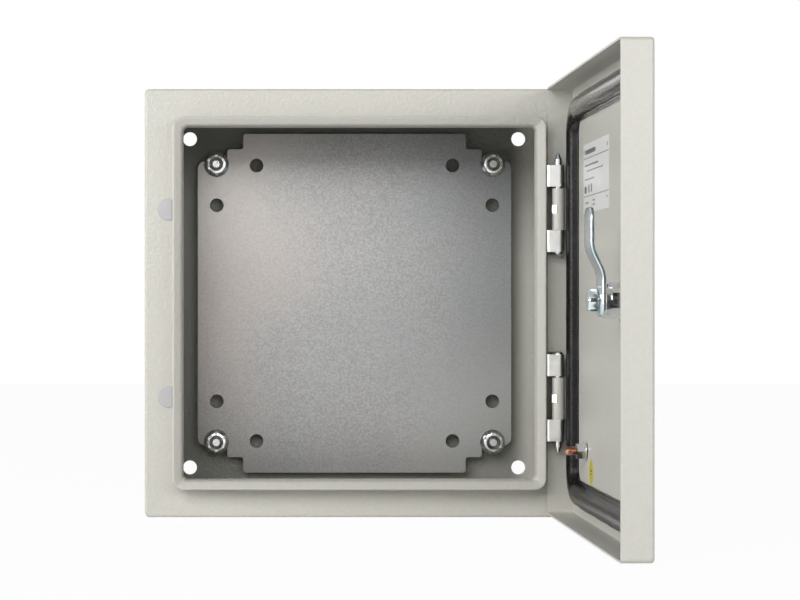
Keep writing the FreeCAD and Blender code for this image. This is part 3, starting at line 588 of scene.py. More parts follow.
@dataclass(frozen=True)
class FoamRubber:
    """Black foamed rubber with a closed, glossy skin full of small bubbles."""

    base: Colour = (0.005, 0.0046, 0.0048)
    bloom: Colour = (0.014, 0.012, 0.012)
    bubbles_per_metre: float = 560.0
    waves_per_metre: float = 110.0
    bubble_size: Span = (0.0, 0.6)
    bubble_share: float = 0.45
    bloom_span: Span = (0.45, 0.8)
    relief: float = 0.0005
    relief_strength: float = 0.3
    roughness: Span = (0.31, 0.26)
    specular: float = 0.2
    skin_roughness: float = 0.13
    skin_z: Span = (0.116, 0.126)
    low_skin: float = 0.12

    def build(self) -> bpy.types.Material:
        """Builds the rubber: bubbles, slow waves and a faint bloom.

        The glossy skin is whole along the top run, thin along the bottom run and worn off between them.

        Returns:
            The material.
        """
        finish = Finish("foam_rubber")
        bubbles = finish.cells(self.bubbles_per_metre).spread(*self.bubble_size, 1.0, 0.0)
        wave = finish.noise(self.waves_per_metre)
        height = bubbles * self.bubble_share + wave * (1 - self.bubble_share)
        z, (start, end) = finish.axis("Z"), self.skin_z
        skin = z.spread(start, end) + z.spread(-end, -start, self.low_skin, 0.0)
        finish.set(Base_Color=finish.blend(wave.spread(*self.bloom_span), self.base, self.bloom),
                   Roughness=bubbles.spread(0.0, 1.0, *self.roughness), Specular_IOR_Level=self.specular,
                   Coat_Weight=skin, Coat_Roughness=self.skin_roughness,
                   Normal=finish.bump(height, self.relief, self.relief_strength))
        return finish.material


@dataclass(frozen=True)
class MouldedPlastic:
    """Pale moulded plastic with a very fine eroded grain."""

    base: Colour = (0.50, 0.488, 0.505)
    grain_per_metre: float = 2500.0
    cloud_per_metre: float = 180.0
    darkest: float = 0.94
    roughness: Span = (0.40, 0.50)
    relief: float = 0.00002
    relief_strength: float = 0.4

    def build(self) -> bpy.types.Material:
        """Builds the plastic: grain in the gloss and the relief, slow clouds in the tone.

        Returns:
            The material.
        """
        finish = Finish("moulded_plastic")
        grain = finish.noise(self.grain_per_metre, 1.0)
        cloud = finish.noise(self.cloud_per_metre, 1.0)
        finish.set(Base_Color=finish.blend(cloud, darker(self.base, self.darkest), self.base),
                   Roughness=grain.spread(*NOISE, *self.roughness),
                   Normal=finish.bump(grain, self.relief, self.relief_strength))
        return finish.material


@dataclass(frozen=True)
class CopperedSteel:
    """Copper-coated steel of a weld stud, stained darker in places."""

    bright: Colour = (0.60, 0.33, 0.21)
    dark: Colour = (0.15, 0.075, 0.05)
    stains_per_metre: float = 330.0
    stain_span: Span = (0.38, 0.62)
    roughness: Span = (0.40, 0.28)
    relief: float = 0.00003
    relief_strength: float = 0.4

    def build(self) -> bpy.types.Material:
        """Builds the copper: one noise stains it, roughens it and pits it.

        Returns:
            The material.
        """
        finish = Finish("coppered_steel")
        stain = finish.noise(self.stains_per_metre, 3.0)
        finish.set(Base_Color=finish.blend(stain.spread(*self.stain_span), self.dark, self.bright),
                   Metallic=1.0, Roughness=stain.spread(*NOISE, *self.roughness),
                   Normal=finish.bump(stain, self.relief, self.relief_strength))
        return finish.material


@dataclass(frozen=True)
class PrintedSheet:
    """Satin film of a label; the marks are read from the mesh's UV map in millimetres.

    A mark is a bar, given by its middle, width and height: one where the distance to its middle is
    less than half its size in both directions, with a soft edge.
    """

    name: str
    paper: Colour
    ink: Colour
    bars: tuple[Mark, ...]
    edge: float = 0.12
    fibres_per_metre: float = 1500.0
    darkest: float = 0.97
    roughness: Span = (0.31, 0.41)
    relief: float = 0.00001
    relief_strength: float = 0.3

    def within(self, along: Signal, middle: float, size: float) -> Signal:
        """One where a coordinate is less than half a size from a middle, in millimetres."""
        half = size / 2
        return (along - middle).absolute().spread(half - self.edge, half + self.edge, 1.0, 0.0)

    def build(self) -> bpy.types.Material:
        """Builds the film: paper with faint fibres, and ink where a bar lies.

        Returns:
            The material.
        """
        finish = Finish(self.name)
        uv = finish.node("ShaderNodeUVMap", {"uv_map": "millimetres"})
        u, v = (finish.node("ShaderNodeSeparateXYZ", inputs={"Vector": uv}, output=axis) for axis in "XY")
        marks = reduce(operator.add, (self.within(u, middle_u, wide) * self.within(v, middle_v, high)
                                      for middle_u, middle_v, wide, high in self.bars))
        fibres = finish.noise(self.fibres_per_metre)
        paper = finish.blend(fibres, darker(self.paper, self.darkest), self.paper)
        finish.set(Base_Color=finish.blend(marks, paper, self.ink),
                   Roughness=fibres.spread(*NOISE, *self.roughness),
                   Normal=finish.bump(fibres, self.relief, self.relief_strength))
        return finish.material


def grid_faces(rows: int, columns: int, wrap_rows: bool, wrap_columns: bool) -> np.ndarray:
    """Quads of a grid of points.

    Args:
        rows: number of point rows.
        columns: number of points in a row.
        wrap_rows: whether the last row joins the first.
        wrap_columns: whether the last column joins the first.

    Returns:
        Four point numbers per face; point (r, c) has number r * columns + c.
    """
    r = np.arange(rows if wrap_rows else rows - 1)
    c = np.arange(columns if wrap_columns else columns - 1)
    here = (r[:, None] * columns + c[None, :]).ravel()
    right = (r[:, None] * columns + (c[None, :] + 1) % columns).ravel()
    over = (((r[:, None] + 1) % rows) * columns + c[None, :]).ravel()
    across = (((r[:, None] + 1) % rows) * columns + (c[None, :] + 1) % columns).ravel()
    return np.stack([here, right, across, over], axis=1)


def make_piece(name: str, points: np.ndarray, faces: list[list[int]], material: bpy.types.Material,
               smooth: bool = True) -> bpy.types.Object:
    """Makes a mesh object at the origin with outward faces.

    Args:
        name: the object's name.
        points: corner places, one row each.
        faces: point numbers of each face.
        material: its only material.
        smooth: whether the faces are shaded smooth.

    Returns:
        The linked object.
    """
    mesh = bpy.data.meshes.new(name)
    mesh.from_pydata(points.tolist(), [], faces)
    work = bmesh.new()
    work.from_mesh(mesh)
    bmesh.ops.remove_doubles(work, verts=work.verts, dist=MERGE_DISTANCE)
    bmesh.ops.recalc_face_normals(work, faces=work.faces)
    work.to_mesh(mesh)
    work.free()
    mesh.polygons.foreach_set("use_smooth", np.full(len(mesh.polygons), smooth))
    mesh.set_sharp_from_angle(angle=SHARP_ANGLE)
    mesh.materials.append(material)
    made = bpy.data.objects.new(name, mesh)
    bpy.context.scene.collection.objects.link(made)
    return made


class SkinBuilder:
    """Collects closed skins over rings of points into one mesh."""

    def __init__(self) -> None:
        """Starts with no points and no faces."""
        self.points: list[np.ndarray] = []
        self.faces: list[list[int]] = []
        self.count = 0

    def add(self, rings: np.ndarray, joined: bool = False) -> "SkinBuilder":
        """Adds the skin over some rings.

        Args:
            rings: array of rings by points by xyz.
            joined: whether the last ring joins the first; if not, both get a flat cap.

        Returns:
            The builder itself.
        """
        rows, around = rings.shape[:2]
        self.faces += (self.count + grid_faces(rows, around, joined, True)).tolist()
        if not joined:
            first = self.count + np.arange(around)
            self.faces += [first.tolist(), (first + (rows - 1) * around).tolist()]
        self.points.append(rings.reshape(-1, 3))
        self.count += rows * around
        return self

    def piece(self, name: str, material: bpy.types.Material, smooth: bool = True) -> bpy.types.Object:
        """Returns the mesh object with everything added so far."""
        return make_piece(name, np.concatenate(self.points), self.faces, material, smooth)


def turned(radius: np.ndarray, angle: np.ndarray, height: np.ndarray) -> np.ndarray:
    """Points of a turned part: radius times (cos, sin) of the angle, and the height.

    Args:
        radius: distance from the axis; the three arrays broadcast against each other.
        angle: angle round the axis.
        height: distance along the axis.

    Returns:
        Rings by points by (cos side, sin side, height).
    """
    return np.stack(np.broadcast_arrays(radius * np.cos(angle), radius * np.sin(angle), height), axis=-1)


def rounded_loop(half_x: float, half_z: float, radius: float,
                 per_corner: int = 12) -> tuple[np.ndarray, np.ndarray]:
    """Points of a rounded rectangle and the outward directions there.

    Each corner is a quarter circle: its centre plus radius times (cos, sin) of an angle that runs
    over a right angle. The straight sides lie between the arcs.

    Args:
        half_x: half the width.
        half_z: half the height.
        radius: corner radius.
        per_corner: points on each arc.

    Returns:
        Points and unit directions in the XZ plane, counter-clockwise, as two columns each.
    """
    turn = np.linspace(0.0, QUARTER, per_corner)
    angle = (turn[None, :] + np.arange(4)[:, None] * QUARTER).ravel()
    outward = np.stack([np.cos(angle), np.sin(angle)], axis=1)
    signs = np.repeat(np.array([(1, 1), (-1, 1), (-1, -1), (1, -1)], float), per_corner, axis=0)
    centre = signs * np.array([half_x - radius, half_z - radius])
    return centre + radius * outward, outward


@dataclass(frozen=True)
class DoorPlace:
    """Carries points of the closed door to their rest place on the open door."""

    axis: Pair
    angle: float

    @classmethod
    def from_joint(cls, name: str) -> "DoorPlace":
        """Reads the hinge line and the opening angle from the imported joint.

        Args:
            name: the joint's name.

        Returns:
            The place of the door at rest.
        """
        joint = next(item for item in frame["joints"] if item["name"] == name)
        x, y = joint["pos_m"][:2]
        return cls((x, y), -math.radians(joint["range_deg"][0]))

    def opened(self, points: np.ndarray) -> np.ndarray:
        """Turns points about the hinge line: the offset from the axis is rotated in the XY plane.

        Args:
            points: places on the closed door, with xyz last.

        Returns:
            Their places on the open door.
        """
        x = points[..., 0] - self.axis[0]
        y = points[..., 1] - self.axis[1]
        c, s = math.cos(self.angle), math.sin(self.angle)
        across, along = self.axis[0] + c * x - s * y, self.axis[1] + s * x + c * y
        return np.stack([across, along, points[..., 2]], axis=-1)

    def closed(self, points: np.ndarray) -> np.ndarray:
        """Turns points of the open door back to the closed door."""
        return DoorPlace(self.axis, -self.angle).opened(points)


def threaded_rod(radius: float, pitch: float, length: float, chamfer: float, around: int = 32,
                 per_pitch: int = 8) -> np.ndarray:
    """Rings of a threaded rod along +Z from the origin, chamfered at its far end.

    The radius at height z and angle a is the crest radius less the thread's depth times a clipped
    triangle wave of z / pitch - a / turn, and it never exceeds what the end chamfer leaves.

    Args:
        radius: crest radius.
        pitch: distance between crests.
        length: rod length.
        chamfer: width of the end chamfer.
        around: points round a ring.
        per_pitch: rings in one pitch.

    Returns:
        Rings by points by xyz.
    """
    z = np.linspace(0.0, length, int(length / pitch * per_pitch) + 1)[:, None]
    angle = np.linspace(0.0, TURN, around, endpoint=False)[None, :]
    phase = np.mod(z / pitch - angle / TURN, 1.0)
    groove = np.clip(FLANK_SLOPE * np.abs(phase - 0.5) - CREST_FLAT, 0.0, 1.0)
    ring = np.minimum(radius - THREAD_DEPTH * pitch * groove, radius - chamfer + (length - z))
    return turned(ring, angle, z)


@dataclass(frozen=True)
class Lamp:
    """Area lamp that faces the enclosure; left of its front and above it, in degrees, and in watts."""

    name: str
    left: float
    up: float
    wide: float
    high: float
    power: float


@dataclass
class Studio:
    """Camera, lamps, floor and backdrop.

    The lamps are a broad key from the upper left, a low one far to the left and a weaker one on the
    right. A glow is the share of plain white that the camera sees of a surface; the rest shows the
    object's shadow.
    """

    focal_px: float = 2210.0
    frame_px: Pair = (800.0, 600.0)
    principal_px: Pair = (294.0, 305.0)
    camera_place: Place = (-0.0454, -1.6708, -0.0013)
    clip: Span = (0.05, 20.0)
    sensor: float = 36.0
    lamps: tuple[Lamp, ...] = (
        Lamp("key_lamp", left=24.0, up=23.0, wide=1.9, high=1.1, power=34.0),
        Lamp("left_lamp", left=75.0, up=8.0, wide=0.8, high=0.8, power=21.0),
        Lamp("right_lamp", left=-32.0, up=12.0, wide=1.8, high=0.7, power=17.0),
    )
    lamp_target: Place = (0.0, -0.15, 0.0)
    lamp_distance: float = 2.3
    stage_side: float = 12.0
    stage_tones: Span = (0.83, 0.85)
    stage_grain: float = 30.0
    stage_roughness: float = 0.9
    floor_glow: float = 0.965
    floor_gap: float = 0.0002
    wall_glow: float = 1.0
    wall_y: float = 2.5
    soft_light: float = 0.06
    mirrored_light: float = 0.45

    def build(self) -> None:
        """Makes the camera, the lamps, the floor, the backdrop and the world."""
        self.make_camera()
        for lamp in self.lamps:
            self.make_lamp(lamp)
        self.make_floor()
        self.make_backdrop()
        self.make_world()
        bpy.context.scene.view_settings.view_transform = "Standard"

    def make_camera(self) -> None:
        """Level camera that looks along +Y; the shift puts its axis at the principal point."""
        data = bpy.data.cameras.new("camera")
        width, height = self.frame_px
        data.sensor_width = self.sensor
        data.lens = self.focal_px * self.sensor / width
        data.shift_x = (width / 2 - self.principal_px[0]) / width
        data.shift_y = (self.principal_px[1] - height / 2) / width
        data.clip_start, data.clip_end = self.clip
        camera = bpy.data.objects.new("camera", data)
        camera.location = self.camera_place
        camera.rotation_euler = (QUARTER, 0.0, 0.0)
        bpy.context.scene.collection.objects.link(camera)
        bpy.context.scene.camera = camera

    def make_lamp(self, lamp: Lamp) -> None:
        """Makes one lamp.

        Its place is the target plus the distance times the direction
        (-sin left cos up, -cos left cos up, sin up).

        Args:
            lamp: where it stands, how large it is and how strong.
        """
        data = bpy.data.lights.new(lamp.name, "AREA")
        data.shape = "RECTANGLE"
        data.size, data.size_y = lamp.wide, lamp.high
        data.energy = lamp.power
        left, up = math.radians(lamp.left), math.radians(lamp.up)
        away = Vector((-math.sin(left) * math.cos(up), -math.cos(left) * math.cos(up), math.sin(up)))
        made = bpy.data.objects.new(lamp.name, data)
        made.location = Vector(self.lamp_target) + self.lamp_distance * away
        made.rotation_euler = (-away).to_track_quat("-Z", "Y").to_euler()
        bpy.context.scene.collection.objects.link(made)

    def stage_sheet(self, name: str, corners: Sequence[Place], glow: float) -> None:
        """Flat studio surface, pale for light and nearly white for camera, glossy and transmission rays.

        Args:
            name: the object's and the material's name.
            corners: its four corners.
            glow: share of plain white that those rays see.
        """
        finish = Finish(name)
        dark, light = ((tone,) * 3 for tone in self.stage_tones)
        finish.set(Base_Color=finish.blend(finish.noise(self.stage_grain), dark, light),
                   Roughness=self.stage_roughness)
        white = finish.node("ShaderNodeEmission", inputs={"Strength": 1.0, "Color": (1.0, 1.0, 1.0)})
        mask = (finish.ray("Camera") + finish.ray("Glossy") + finish.ray("Transmission")) * glow
        surface = Signal(finish, finish.shader.outputs[0])
        mixed = finish.node("ShaderNodeMixShader", inputs={0: mask, 1: surface, 2: white})
        finish.feed(finish.output.inputs["Surface"], mixed)
        make_piece(name, np.array(corners), [[0, 1, 2, 3]], finish.material, False)

    def make_floor(self) -> None:
        """Pale floor a hair under the object, so that the two faces don't coincide."""
        low, side = CAD_BOX[0][2] - self.floor_gap, self.stage_side
        corners = [(-side, -side, low), (side, -side, low), (side, side, low), (-side, side, low)]
        self.stage_sheet("studio_floor", corners, self.floor_glow)

    def make_backdrop(self) -> None:
        """White wall far behind the object, which its surfaces reflect at grazing angles."""
        low, side, y = CAD_BOX[0][2], self.stage_side, self.wall_y
        corners = [(-side, y, low), (side, y, low), (side, y, side / 2), (-side, y, side / 2)]
        self.stage_sheet("studio_backdrop", corners, self.wall_glow)

    def make_world(self) -> None:
        """Dim surround that glossy rays see grey and camera and transmission rays see white."""
        world = bpy.data.worlds.new("studio")
        bpy.context.scene.world = world
        recipe = Recipe(world, "ShaderNodeOutputWorld")
        seen = recipe.ray("Camera").larger(recipe.ray("Transmission"))
        mirrored = recipe.ray("Glossy") * self.mirrored_light + self.soft_light
        inputs = {"Color": (1.0, 1.0, 1.0), "Strength": seen.larger(mirrored)}
        recipe.feed(recipe.output.inputs["Surface"], recipe.node("ShaderNodeBackground", inputs=inputs))


@dataclass
class Finishes:
    """The materials of the enclosure, built once and shared: one for each slot, and some for nodes."""

    by_slot: dict[Slot, bpy.types.Material] = field(default_factory=dict)
    by_node: dict[str, bpy.types.Material] = field(default_factory=dict)

    def build(self) -> None:
        """Builds the finish of every material slot and the finishes of single nodes."""
        self.by_slot = {
            Slot.PAINT: PowderCoat().build(),
            Slot.GALVANISED: GalvanisedSheet().build(),
            Slot.ZINC: BrightZinc().build(),
            Slot.RUBBER: FoamRubber().build(),
            Slot.PLASTIC: MouldedPlastic().build(),
            Slot.COPPER: CopperedSteel().build(),
        }
        # Hinge zinc with painted shade on the bracket parts that lie behind the leaf's depth.
        hinge = BrightZinc("hinge_zinc", base=(0.92, 0.92, 0.90), roughness=0.30, tint=0.10,
                           shade_behind=-0.1285).build()
        cam = BrightZinc("cam_zinc", base=(0.82, 0.90, 0.91), blue=(0.56, 0.76, 0.80),
                         straw=(0.80, 0.72, 0.84), roughness=0.17, tint=0.65).build()
        lock = BrightZinc("lock_zinc", base=(0.80, 0.80, 0.79), roughness=0.12, tint=0.25).build()
        self.by_node = {
            "hinge_bracket_upper": hinge, "hinge_bracket_lower": hinge, "hinge_clips": hinge,
            "lock_cam": cam, "cam_bolt": cam, "cam_washer": cam,
            "lock_housing": lock, "lock_nut": lock,
            "plate_nuts": NutZinc().build(),
            "cabinet_shell": CabinetCoat().build(),
        }

    def dress(self) -> None:
        """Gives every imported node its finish."""
        slots = {row["node"]: Slot(row["material_slot"]) for row in frame["record"]["subparts"]}
        for name, node in frame["nodes"].items():
            node.data.materials.clear()
            node.data.materials.append(self.by_node.get(name, self.by_slot[slots[name]]))
            LOG.info("dressed %s in %s", name, slots[name].value)


def seat(piece: bpy.types.Object, body: Body) -> None:
    """Makes a finished piece ride on a body.

    Args:
        piece: the piece, in its rest place.
        body: the body that carries it.
    """
    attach(piece, body.value)
    LOG.info("made %s on %s", piece.name, body.value)


def at_studs(rings: np.ndarray, front: float) -> list[np.ndarray]:
    """Stands a turned part on each of the four plate studs.

    Its height runs from the front towards the wall, so y is the front less the height, and each copy
    is shifted by plus or minus the studs' distance from the middle, across and up.

    Args:
        rings: rings by points by (side, side, height).
        front: y of height zero.

    Returns:
        The rings of the four copies.
    """
    stood = np.stack([rings[..., 0], front - rings[..., 2], rings[..., 1]], axis=-1)
    return [stood + np.array([x, 0.0, z]) for x in (-STUD_X, STUD_X) for z in (-STUD_Z, STUD_Z)]


@dataclass
class PlateStuds:
    """Threaded studs that carry the mounting plate."""

    radius: float = 0.004
    pitch: float = 0.00125
    chamfer: float = 0.0014

    def build(self, finishes: Finishes) -> None:
        """Makes the four studs as one piece, in place of the plain ones.

        Args:
            finishes: the enclosure's materials.
        """
        low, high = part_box("plate_studs")
        rod = threaded_rod(self.radius, self.pitch, high[1] - low[1], self.chamfer)
        skin = SkinBuilder()
        for rings in at_studs(rod, high[1]):
            skin.add(rings)
        piece = skin.piece("threaded_plate_studs", finishes.by_slot[Slot.ZINC])
        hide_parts("plate_studs")
        seat(piece, Body.CABINET)


def turned_hexagon(profile: Sequence[tuple[float, float, bool]], flats: float, turn: float,
                   around: int = 96) -> np.ndarray:
    """Rings of a turned part whose marked rings are cut back to a hexagon.

    The hexagon's side lies at half the width across flats over the cosine of the angle to the middle
    of the nearest side.

    Args:
        profile: radius, height and whether the hexagon cuts there, one row per ring.
        flats: width across the hexagon's flats.
        turn: angle of the middle of one side.
        around: points round a ring.

    Returns:
        Rings by points by (cos side, sin side, height).
    """
    sector = TURN / 6
    angle = np.linspace(0.0, TURN, around, endpoint=False)
    side = flats / 2 / np.cos(np.mod(angle - turn + sector / 2, sector) - sector / 2)
    radius, height, cut = np.array(profile).T[..., None]
    return turned(np.where(cut > 0, np.minimum(radius, side), radius), angle, height)


@dataclass
class PlateNuts:
    """Flange nuts on the plate studs: coned flange, hexagon, flat ring and countersunk mouth."""

    flats: float = 0.0140
    flange: float = 0.00925
    flange_edge: float = 0.0005
    cone_top: float = 0.0021
    cone_over: float = 0.0004
    corner_over: float = 0.0012
    corner_rise: float = 0.0001
    corner_drop: float = 0.0008
    ring_over: float = 0.0001
    mouth: float = 0.00525
    mouth_depth: float = 0.0012
    bore: float = 0.00402
    edge: float = 0.00015

    def build(self, finishes: Finishes) -> None:
        """Makes the four nuts as one piece, in place of the plain ones.

        Args:
            finishes: the enclosure's materials.
        """
        low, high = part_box("plate_nuts")
        tall = high[1] - low[1]
        ring = self.flats / 2
        corner = ring + self.corner_over
        profile = [
            (self.bore, 0.0, False), (self.flange, 0.0, False), (self.flange, self.flange_edge, False),
            (self.flange - self.edge, self.flange_edge + self.edge, False),
            (ring + self.cone_over, self.cone_top, False), (corner, self.cone_top + self.corner_rise, True),
            (corner, tall - self.corner_drop, True), (ring + self.ring_over, tall - self.edge, True),
            (ring - self.edge, tall, False), (self.mouth, tall, False),
            (self.bore, tall - self.mouth_depth, False),
        ]
        skin = SkinBuilder()
        for rings in at_studs(turned_hexagon(profile, self.flats, QUARTER), high[1]):
            skin.add(rings, joined=True)
        piece = skin.piece("flanged_plate_nuts", finishes.by_node["plate_nuts"])
        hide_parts("plate_nuts")
        seat(piece, Body.CABINET)


@dataclass
class LatchCam:
    """Cranked tongue of the latch with rolled edges, and the quarter-ring lug that stops it."""

    place: DoorPlace
    seat_y: float = -0.1335
    sheet: float = 0.0025
    width: float = 0.0260
    crank: float = 0.0071
    bend_from: float = 0.0130
    bend_to: float = 0.0340
    bottom: float = -0.0100
    top: float = 0.0558
    end_round: float = 0.0095
    end_width: float = 0.35
    edge_radius: float = 0.0007
    edge_sheet: float = 0.35
    end_rows: int = 14
    rows: int = 60
    rows_left_out: int = 10
    corner_points: int = 7
    lug_radii: Pair = (0.00795, 0.0098)
    lug_low: float = -0.1372
    lug_gap: float = 0.025
    lug_points: int = 14

    def path(self, z: np.ndarray) -> tuple[np.ndarray, np.ndarray]:
        """Runs the sheet through its crank.

        With t running from 0 to 1 over the bend, the offset is the crank times 3 t^2 - 2 t^3.

        Args:
            z: heights along the tongue.

        Returns:
            The middle of the sheet and its slope at these heights.
        """
        span = self.bend_to - self.bend_from
        t = np.clip((z - self.bend_from) / span, 0.0, 1.0)
        middle = self.seat_y + self.sheet / 2 + self.crank * (3 * t ** 2 - 2 * t ** 3)
        return middle, self.crank * 6 * t * (1 - t) / span

    def heights(self) -> np.ndarray:
        """Spaces the tongue's rings evenly, and closer together where its ends are rounded.

        Returns:
            Heights from the bottom to the top.
        """
        near_end = self.end_round * (1 - np.cos(np.linspace(0.0, QUARTER, self.end_rows)))
        between = np.linspace(self.bottom, self.top, self.rows)[self.rows_left_out:-self.rows_left_out]
        return np.concatenate([self.bottom + near_end, between, (self.top - near_end)[::-1]])

    def tongue(self) -> np.ndarray:
        """Carries a rounded bar along the sheet's path.

        Near an end its half width is the full one times (1 - (1 - s)^3)^(1/3), and its thickness
        grows as (1 - (1 - r)^2)^(1/2), with s and r the distance from the end in units of the
        rounding's length and of the rolled edge's radius. Both keep a small share at the end itself.

        Returns:
            Rings by points by xyz, on the closed door with the latch's axis at height zero.
        """
        z = self.heights()
        from_end = np.minimum(z - self.bottom, self.top - z)
        s, r = (np.clip(from_end / length, 0.0, 1.0) for length in (self.end_round, self.edge_radius))
        half = (self.width / 2) * np.maximum(np.cbrt(1 - (1 - s) ** 3), self.end_width)
        thick = self.edge_sheet + (1 - self.edge_sheet) * np.sqrt(1 - (1 - r) ** 2)
        loop, _ = rounded_loop(self.edge_radius, self.sheet / 2, self.edge_radius, self.corner_points)
        corner = np.arange(len(loop)) // self.corner_points
        side = np.where(corner % 3 == 0, 1.0, -1.0)
        across = loop[None, :, 0] + side[None, :] * (half[:, None] - self.edge_radius)
        over = loop[None, :, 1] * thick[:, None]
        middle, slope = self.path(z)
        lean = np.sqrt(1 + slope ** 2)
        y = middle[:, None] + over / lean[:, None]
        height = z[:, None] - over * (slope / lean)[:, None]
        return np.stack([LATCH_X + across, y, height], axis=-1)

    def lug(self) -> np.ndarray:
        """Outlines a quarter of a ring, a small gap short at both ends, at two levels.

        Returns:
            Rings by points by xyz, placed as the tongue's are.
        """
        turn = np.linspace(self.lug_gap, QUARTER - self.lug_gap, self.lug_points)
        radius = np.repeat(self.lug_radii, self.lug_points)
        angle = np.concatenate([turn, turn[::-1]])
        flat = np.stack([LATCH_X + radius * np.cos(angle), radius * np.sin(angle)], axis=-1)
        levels = (self.lug_low, self.seat_y + self.sheet / 2)
        return np.stack([np.insert(flat, 1, level, axis=1) for level in levels])

    def build(self, finishes: Finishes) -> None:
        """Makes tongue and lug as one piece, in place of the plain cam.

        Args:
            finishes: the enclosure's materials.
        """
        skin, raised = SkinBuilder(), np.array([0.0, 0.0, LATCH_Z])
        for rings in (self.tongue(), self.lug()):
            skin.add(self.place.opened(rings + raised))
        piece = skin.piece("rolled_edge_cam", finishes.by_node["lock_cam"])
        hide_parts("lock_cam")
        seat(piece, Body.LATCH)


@dataclass
class CamBolt:
    """Hexagon bolt of the cam, with a crowned head whose flats face up and down."""

    place: DoorPlace
    flats: float = 0.0130
    head: float = 0.0056
    crown: float = 0.0010
    crown_edge: float = 0.0001
    crown_inset: float = 0.0002
    top_inset: float = 0.0009
    shank: float = 0.0040
    length: float = 0.0080
    tip_chamfer: float = 0.0006
    pole: float = 0.0001

    def build(self, finishes: Finishes) -> None:
        """Makes the bolt in place of the plain one; its head rises away from the door panel.

        Args:
            finishes: the enclosure's materials.
        """
        under = self.place.closed(np.array(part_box("cam_bolt")))[:, 1].max() - self.head
        corner, flat = self.flats / math.sqrt(3), self.flats / 2
        profile = [
            (self.pole, -self.length, False), (self.shank - self.tip_chamfer, -self.length, False),
            (self.shank, -self.length + self.tip_chamfer, False), (self.shank, 0.0, False),
            (corner, 0.0, True), (corner, self.head - self.crown, True),
            (flat - self.crown_inset, self.head - self.crown_edge, True),
            (flat - self.top_inset, self.head, False), (self.pole, self.head, False),
        ]
        rings = turned_hexagon(profile, self.flats, QUARTER)
        middle = np.array([LATCH_X, under, LATCH_Z])
        closed = middle + np.stack([rings[..., 0], rings[..., 2], rings[..., 1]], axis=-1)
        skin = SkinBuilder().add(self.place.opened(closed))
        piece = skin.piece("crowned_cam_bolt", finishes.by_node["cam_bolt"])
        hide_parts("cam_bolt")
        seat(piece, Body.LATCH)


@dataclass
class DoorEarth:
    """Threaded weld stud with its foot, on the door, for an earth lead."""

    place: DoorPlace
    x: float = 0.0885
    length: float = 0.0143
    radius: float = 0.003
    pitch: float = 0.001
    chamfer: float = 0.0012
    foot_radius: float = 0.0037
    foot_height: float = 0.0008
    foot_edge: float = 0.0002
    foot_points: int = 40

    def foot(self) -> np.ndarray:
        """Turns the foot, from the panel up to its broken edge.

        Returns:
            Rings by points by (cos side, sin side, height).
        """
        turn = np.linspace(0.0, TURN, self.foot_points, endpoint=False)
        radius = self.foot_radius - np.array([0.0, 0.0, self.foot_edge])[:, None]
        height = np.array([0.0, self.foot_height - self.foot_edge, self.foot_height])[:, None]
        return turned(radius, turn, height)

    def build(self, finishes: Finishes) -> None:
        """Makes the stud and its foot as one piece, in place of the plain one.

        Args:
            finishes: the enclosure's materials.
        """
        low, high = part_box("door_earth_stud")
        z = (low[2] + high[2]) / 2
        skin, middle = SkinBuilder(), np.array([self.x, PANEL_Y, z])
        for rings in (threaded_rod(self.radius, self.pitch, self.length, self.chamfer), self.foot()):
            stood = np.stack([rings[..., 0], rings[..., 2], rings[..., 1]], axis=-1)
            skin.add(self.place.opened(middle + stood))
        piece = skin.piece("threaded_earth_stud", finishes.by_slot[Slot.COPPER])
        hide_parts("door_earth_stud")
        seat(piece, Body.DOOR)


